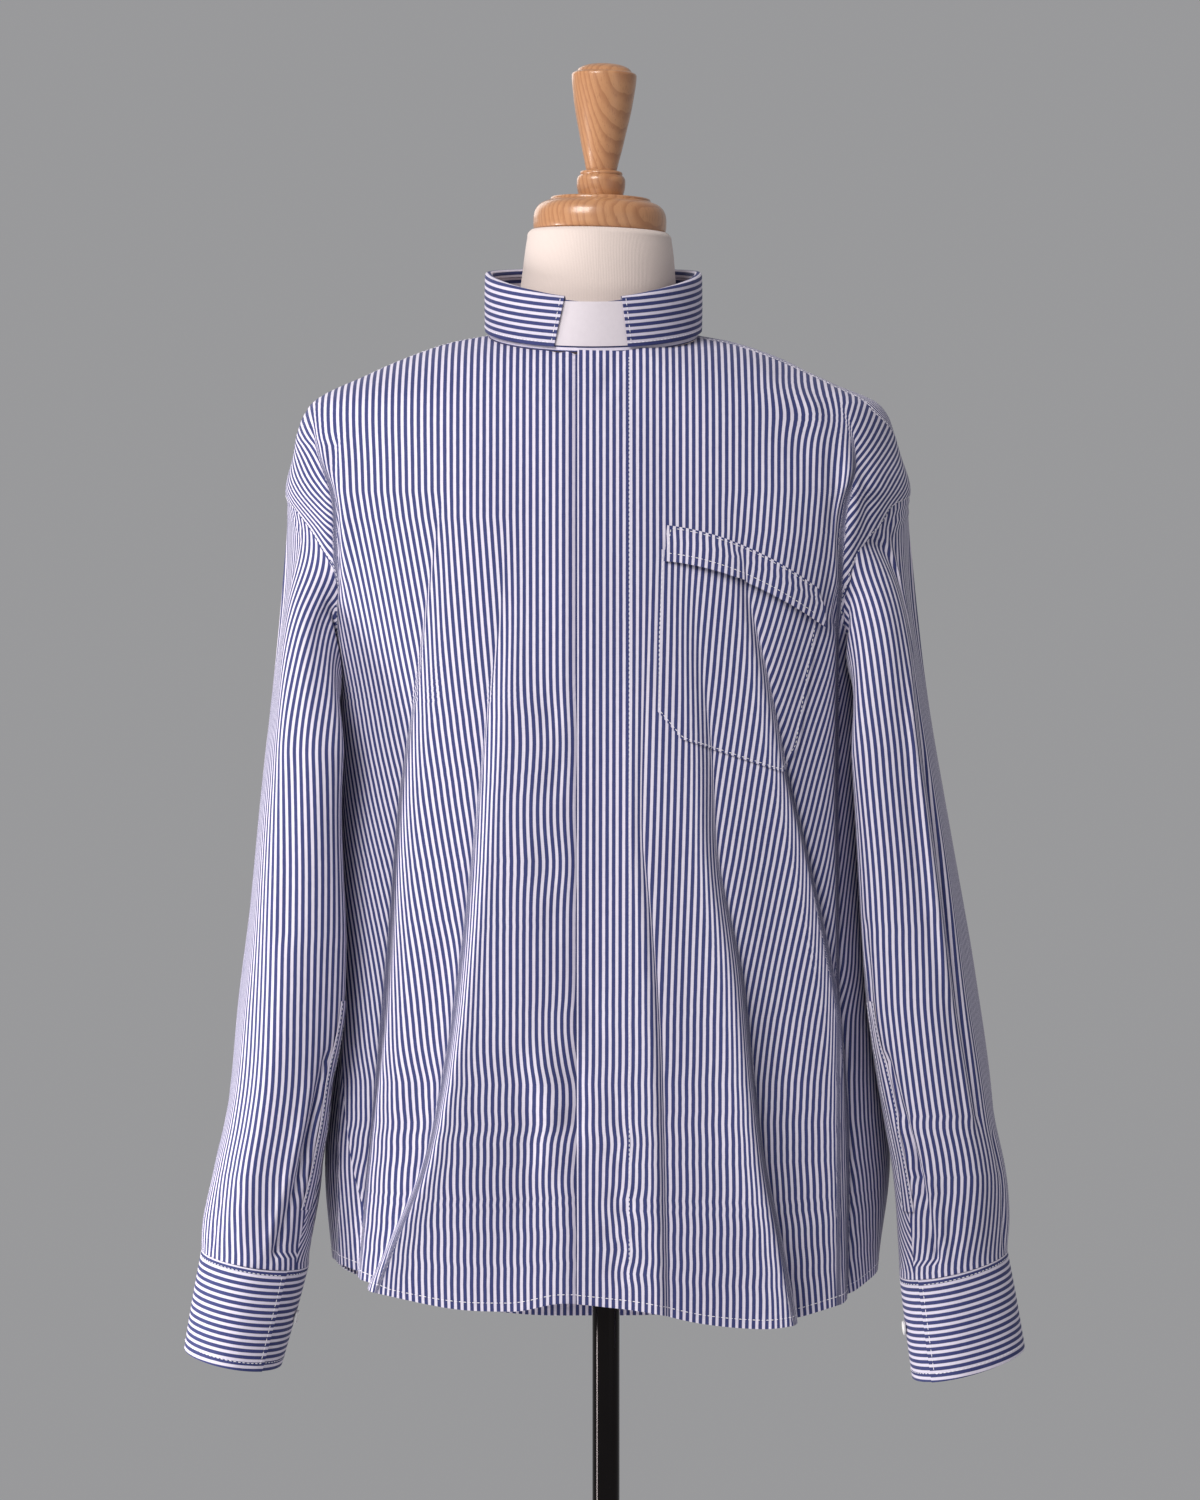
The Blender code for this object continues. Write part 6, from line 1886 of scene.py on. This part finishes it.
# %% Cap and finial
CAP_RUNS = (
    ((0, 0.0262), (0.036, 0.0262)),
    ((0.036, 0.0262), (0.0376, 0.0259), (0.0385, 0.025), (0.0387, 0.024)),
    ((0.0387, 0.024), (0.04, 0.0232), (0.043, 0.0222), (0.0458, 0.0207), (0.0483, 0.0184), (0.0502, 0.015),
     (0.0511, 0.0108), (0.0512, 0.0066), (0.051, 0.0026), (0.0506, 0.0012), (0.0498, 0.0004)),
    ((0.0498, 0.0004), (0.048, 0.0003), (0, 0.0003)),
)
FINIAL_RUNS = (
    ((0, 0.103), (0.006, 0.1029), (0.012, 0.1021), (0.017, 0.1005), (0.0202, 0.0984), (0.0213, 0.0968)),
    ((0.0213, 0.0968), (0.0221, 0.0962), (0.0234, 0.0958), (0.0245, 0.095), (0.025, 0.0936),
     (0.0249, 0.0905), (0.0237, 0.08), (0.0212, 0.064), (0.018, 0.049),
     (0.0153, 0.036), (0.0136, 0.029), (0.0124, 0.0235), (0.0119, 0.0208)),
    ((0.0119, 0.0208), (0.014, 0.0203), (0.0158, 0.0196), (0.0164, 0.0184), (0.016, 0.0172)),
    ((0.016, 0.0172), (0.017, 0.0165), (0.0181, 0.015), (0.0187, 0.0125), (0.0187, 0.0095), (0.0183, 0.006),
     (0.0174, 0.0025), (0.0163, 0)),
    ((0.0163, 0), (0, 0)),
)
FINIAL_FOOT = 0.0265


def smooth_run(points, per=4):
    """A smooth line through the points of one run of a profile."""
    knots = np.array(points)
    if len(knots) < 3:
        return [tuple(p) for p in knots]
    run = np.concatenate([[0], np.cumsum(np.linalg.norm(np.diff(knots, axis=0), axis=1))])
    at = np.unique(np.concatenate([np.linspace(a, b, per + 1) for a, b in zip(run, run[1:])]))
    return list(zip(follow(at, run, knots[:, 0]), follow(at, run, knots[:, 1])))


def turned_piece(name, runs, place, node):
    profile = []
    for run in runs:
        smooth = smooth_run(run)
        profile += smooth[1:] if profile else smooth
    profile = [(float(r), float(h)) for r, h in profile]
    bm = bmesh.new()
    matrix = mathutils.Matrix.Translation(place) @ mathutils.Matrix.Rotation(CAP_LEAN, 4, "Y")
    turned(bm, profile, 96, matrix)
    return finished(name, bm, wood_finish, (node,), sharp=math.radians(28))


turned_piece("wood_cap", CAP_RUNS, NECK_TOP, "neck_cap")
lift = mathutils.Matrix.Rotation(CAP_LEAN, 4, "Y") @ mathutils.Vector((0, 0, FINIAL_FOOT))
turned_piece("wood_finial", FINIAL_RUNS, [a + b for a, b in zip(NECK_TOP, lift)], "finial")
print("the finial's top is at", round(NECK_TOP[2] + FINIAL_FOOT + FINIAL_RUNS[0][0][1], 3), "m")

# %% [markdown]
# ## Pole and foot
# The pole is a dark polished tube: nearly black from the front, bright where it turns away. The foot is
# not seen in the picture. It is a plain heavy disc of the same steel, with a domed hub and a rounded rim.

# %% Polished steel
def polished_steel(start):
    place = own_place(start)
    brushed = cloudy(scaled(place, (800, 800, 20)), 1.0, 2.0)
    smudge = cloudy(scaled(place, (14, 14, 9)), 1.0, 3.0)
    return {
        "Base Color": mixed(smudge, (0.016, 0.014, 0.014, 1), (0.032, 0.028, 0.028, 1)),
        "Roughness": 0.07 + brushed * 0.05 + smudge * 0.05,
    }


steel_finish = new_finish("polished_steel", {"Metallic": 1.0}, polished_steel)

# %% Pole and foot
FOOT_RUNS = (
    ((0, 0.02), (0.017, 0.02)),
    ((0.017, 0.02), (0.02, 0.0197), (0.0235, 0.0186), (0.0262, 0.0165), (0.0285, 0.0138), (0.0315, 0.0119),
     (0.038, 0.0107), (0.06, 0.0101), (0.1, 0.0094), (0.14, 0.0085), (0.16, 0.0075), (0.1665, 0.0064),
     (0.1694, 0.0046), (0.17, 0.0028), (0.1696, 0.001), (0.169, 0)),
    ((0.169, 0), (0, 0)),
)
POLE_RADIUS = 0.0105
POLE_FOOT = 0.0203
POLE_TOP = 0.7997

bm = bmesh.new()
profile = [point for i, run in enumerate(FOOT_RUNS) for point in smooth_run(run)[bool(i):]]
turned(bm, [(float(r), float(h)) for r, h in profile], 128, mathutils.Matrix.Identity(4))
finished("steel_foot", bm, steel_finish, ("foot",), sharp=math.radians(40))
bm = bmesh.new()
bmesh.ops.create_cone(bm, cap_ends=True, segments=64, radius1=POLE_RADIUS, radius2=POLE_RADIUS,
                      depth=POLE_TOP - POLE_FOOT,
                      matrix=mathutils.Matrix.Translation((0, 0, (POLE_TOP + POLE_FOOT) / 2)))
finished("steel_pole", bm, steel_finish, ("pole",), sharp=math.radians(40))
print("pole and foot are in place")

# %% [markdown]
# ## The cut of each piece
# Each cloth piece's cut size is printed. Its width and length are measured along the finished surface,
# and its area is that of one layer.

# %% Printing the cloth's cut sizes
def declare(made, rests_on):
    if "points" in made:
        width = float(run_across(made["points"])[:, -1].max())
        length = float(run_along(made["points"])[-1].max())
    else:
        spots = np.array([v.co for v in made["object"].data.vertices])
        width, length = float(np.ptp(spots[:, 0])) * 1.02, float(np.ptp(spots[:, 2])) * 1.02
    area = min(made["area"], width * length)
    print(made["object"].name, "cut", round(width * 1000), "x", round(length * 1000), "mm,",
          round(area * 1e4), "square cm")


declare(fronts["right"], ["form_torso"])
declare(fronts["left"], ["form_torso", "front_right"])
declare(back, ["form_torso", "yoke"])
declare(yoke, ["form_torso"])
for side in ("right", "left"):
    declare(sleeves[side], ["front_" + side, "back"])
    declare(cuffs[side], ["sleeve_" + side])
    declare(plackets[side], ["sleeve_" + side])
declare(collar_piece, ["neckband"])
declare(band_piece, ["form_torso"])
declare(pocket, ["front_left"])
declare(flap, ["pocket", "front_left"])
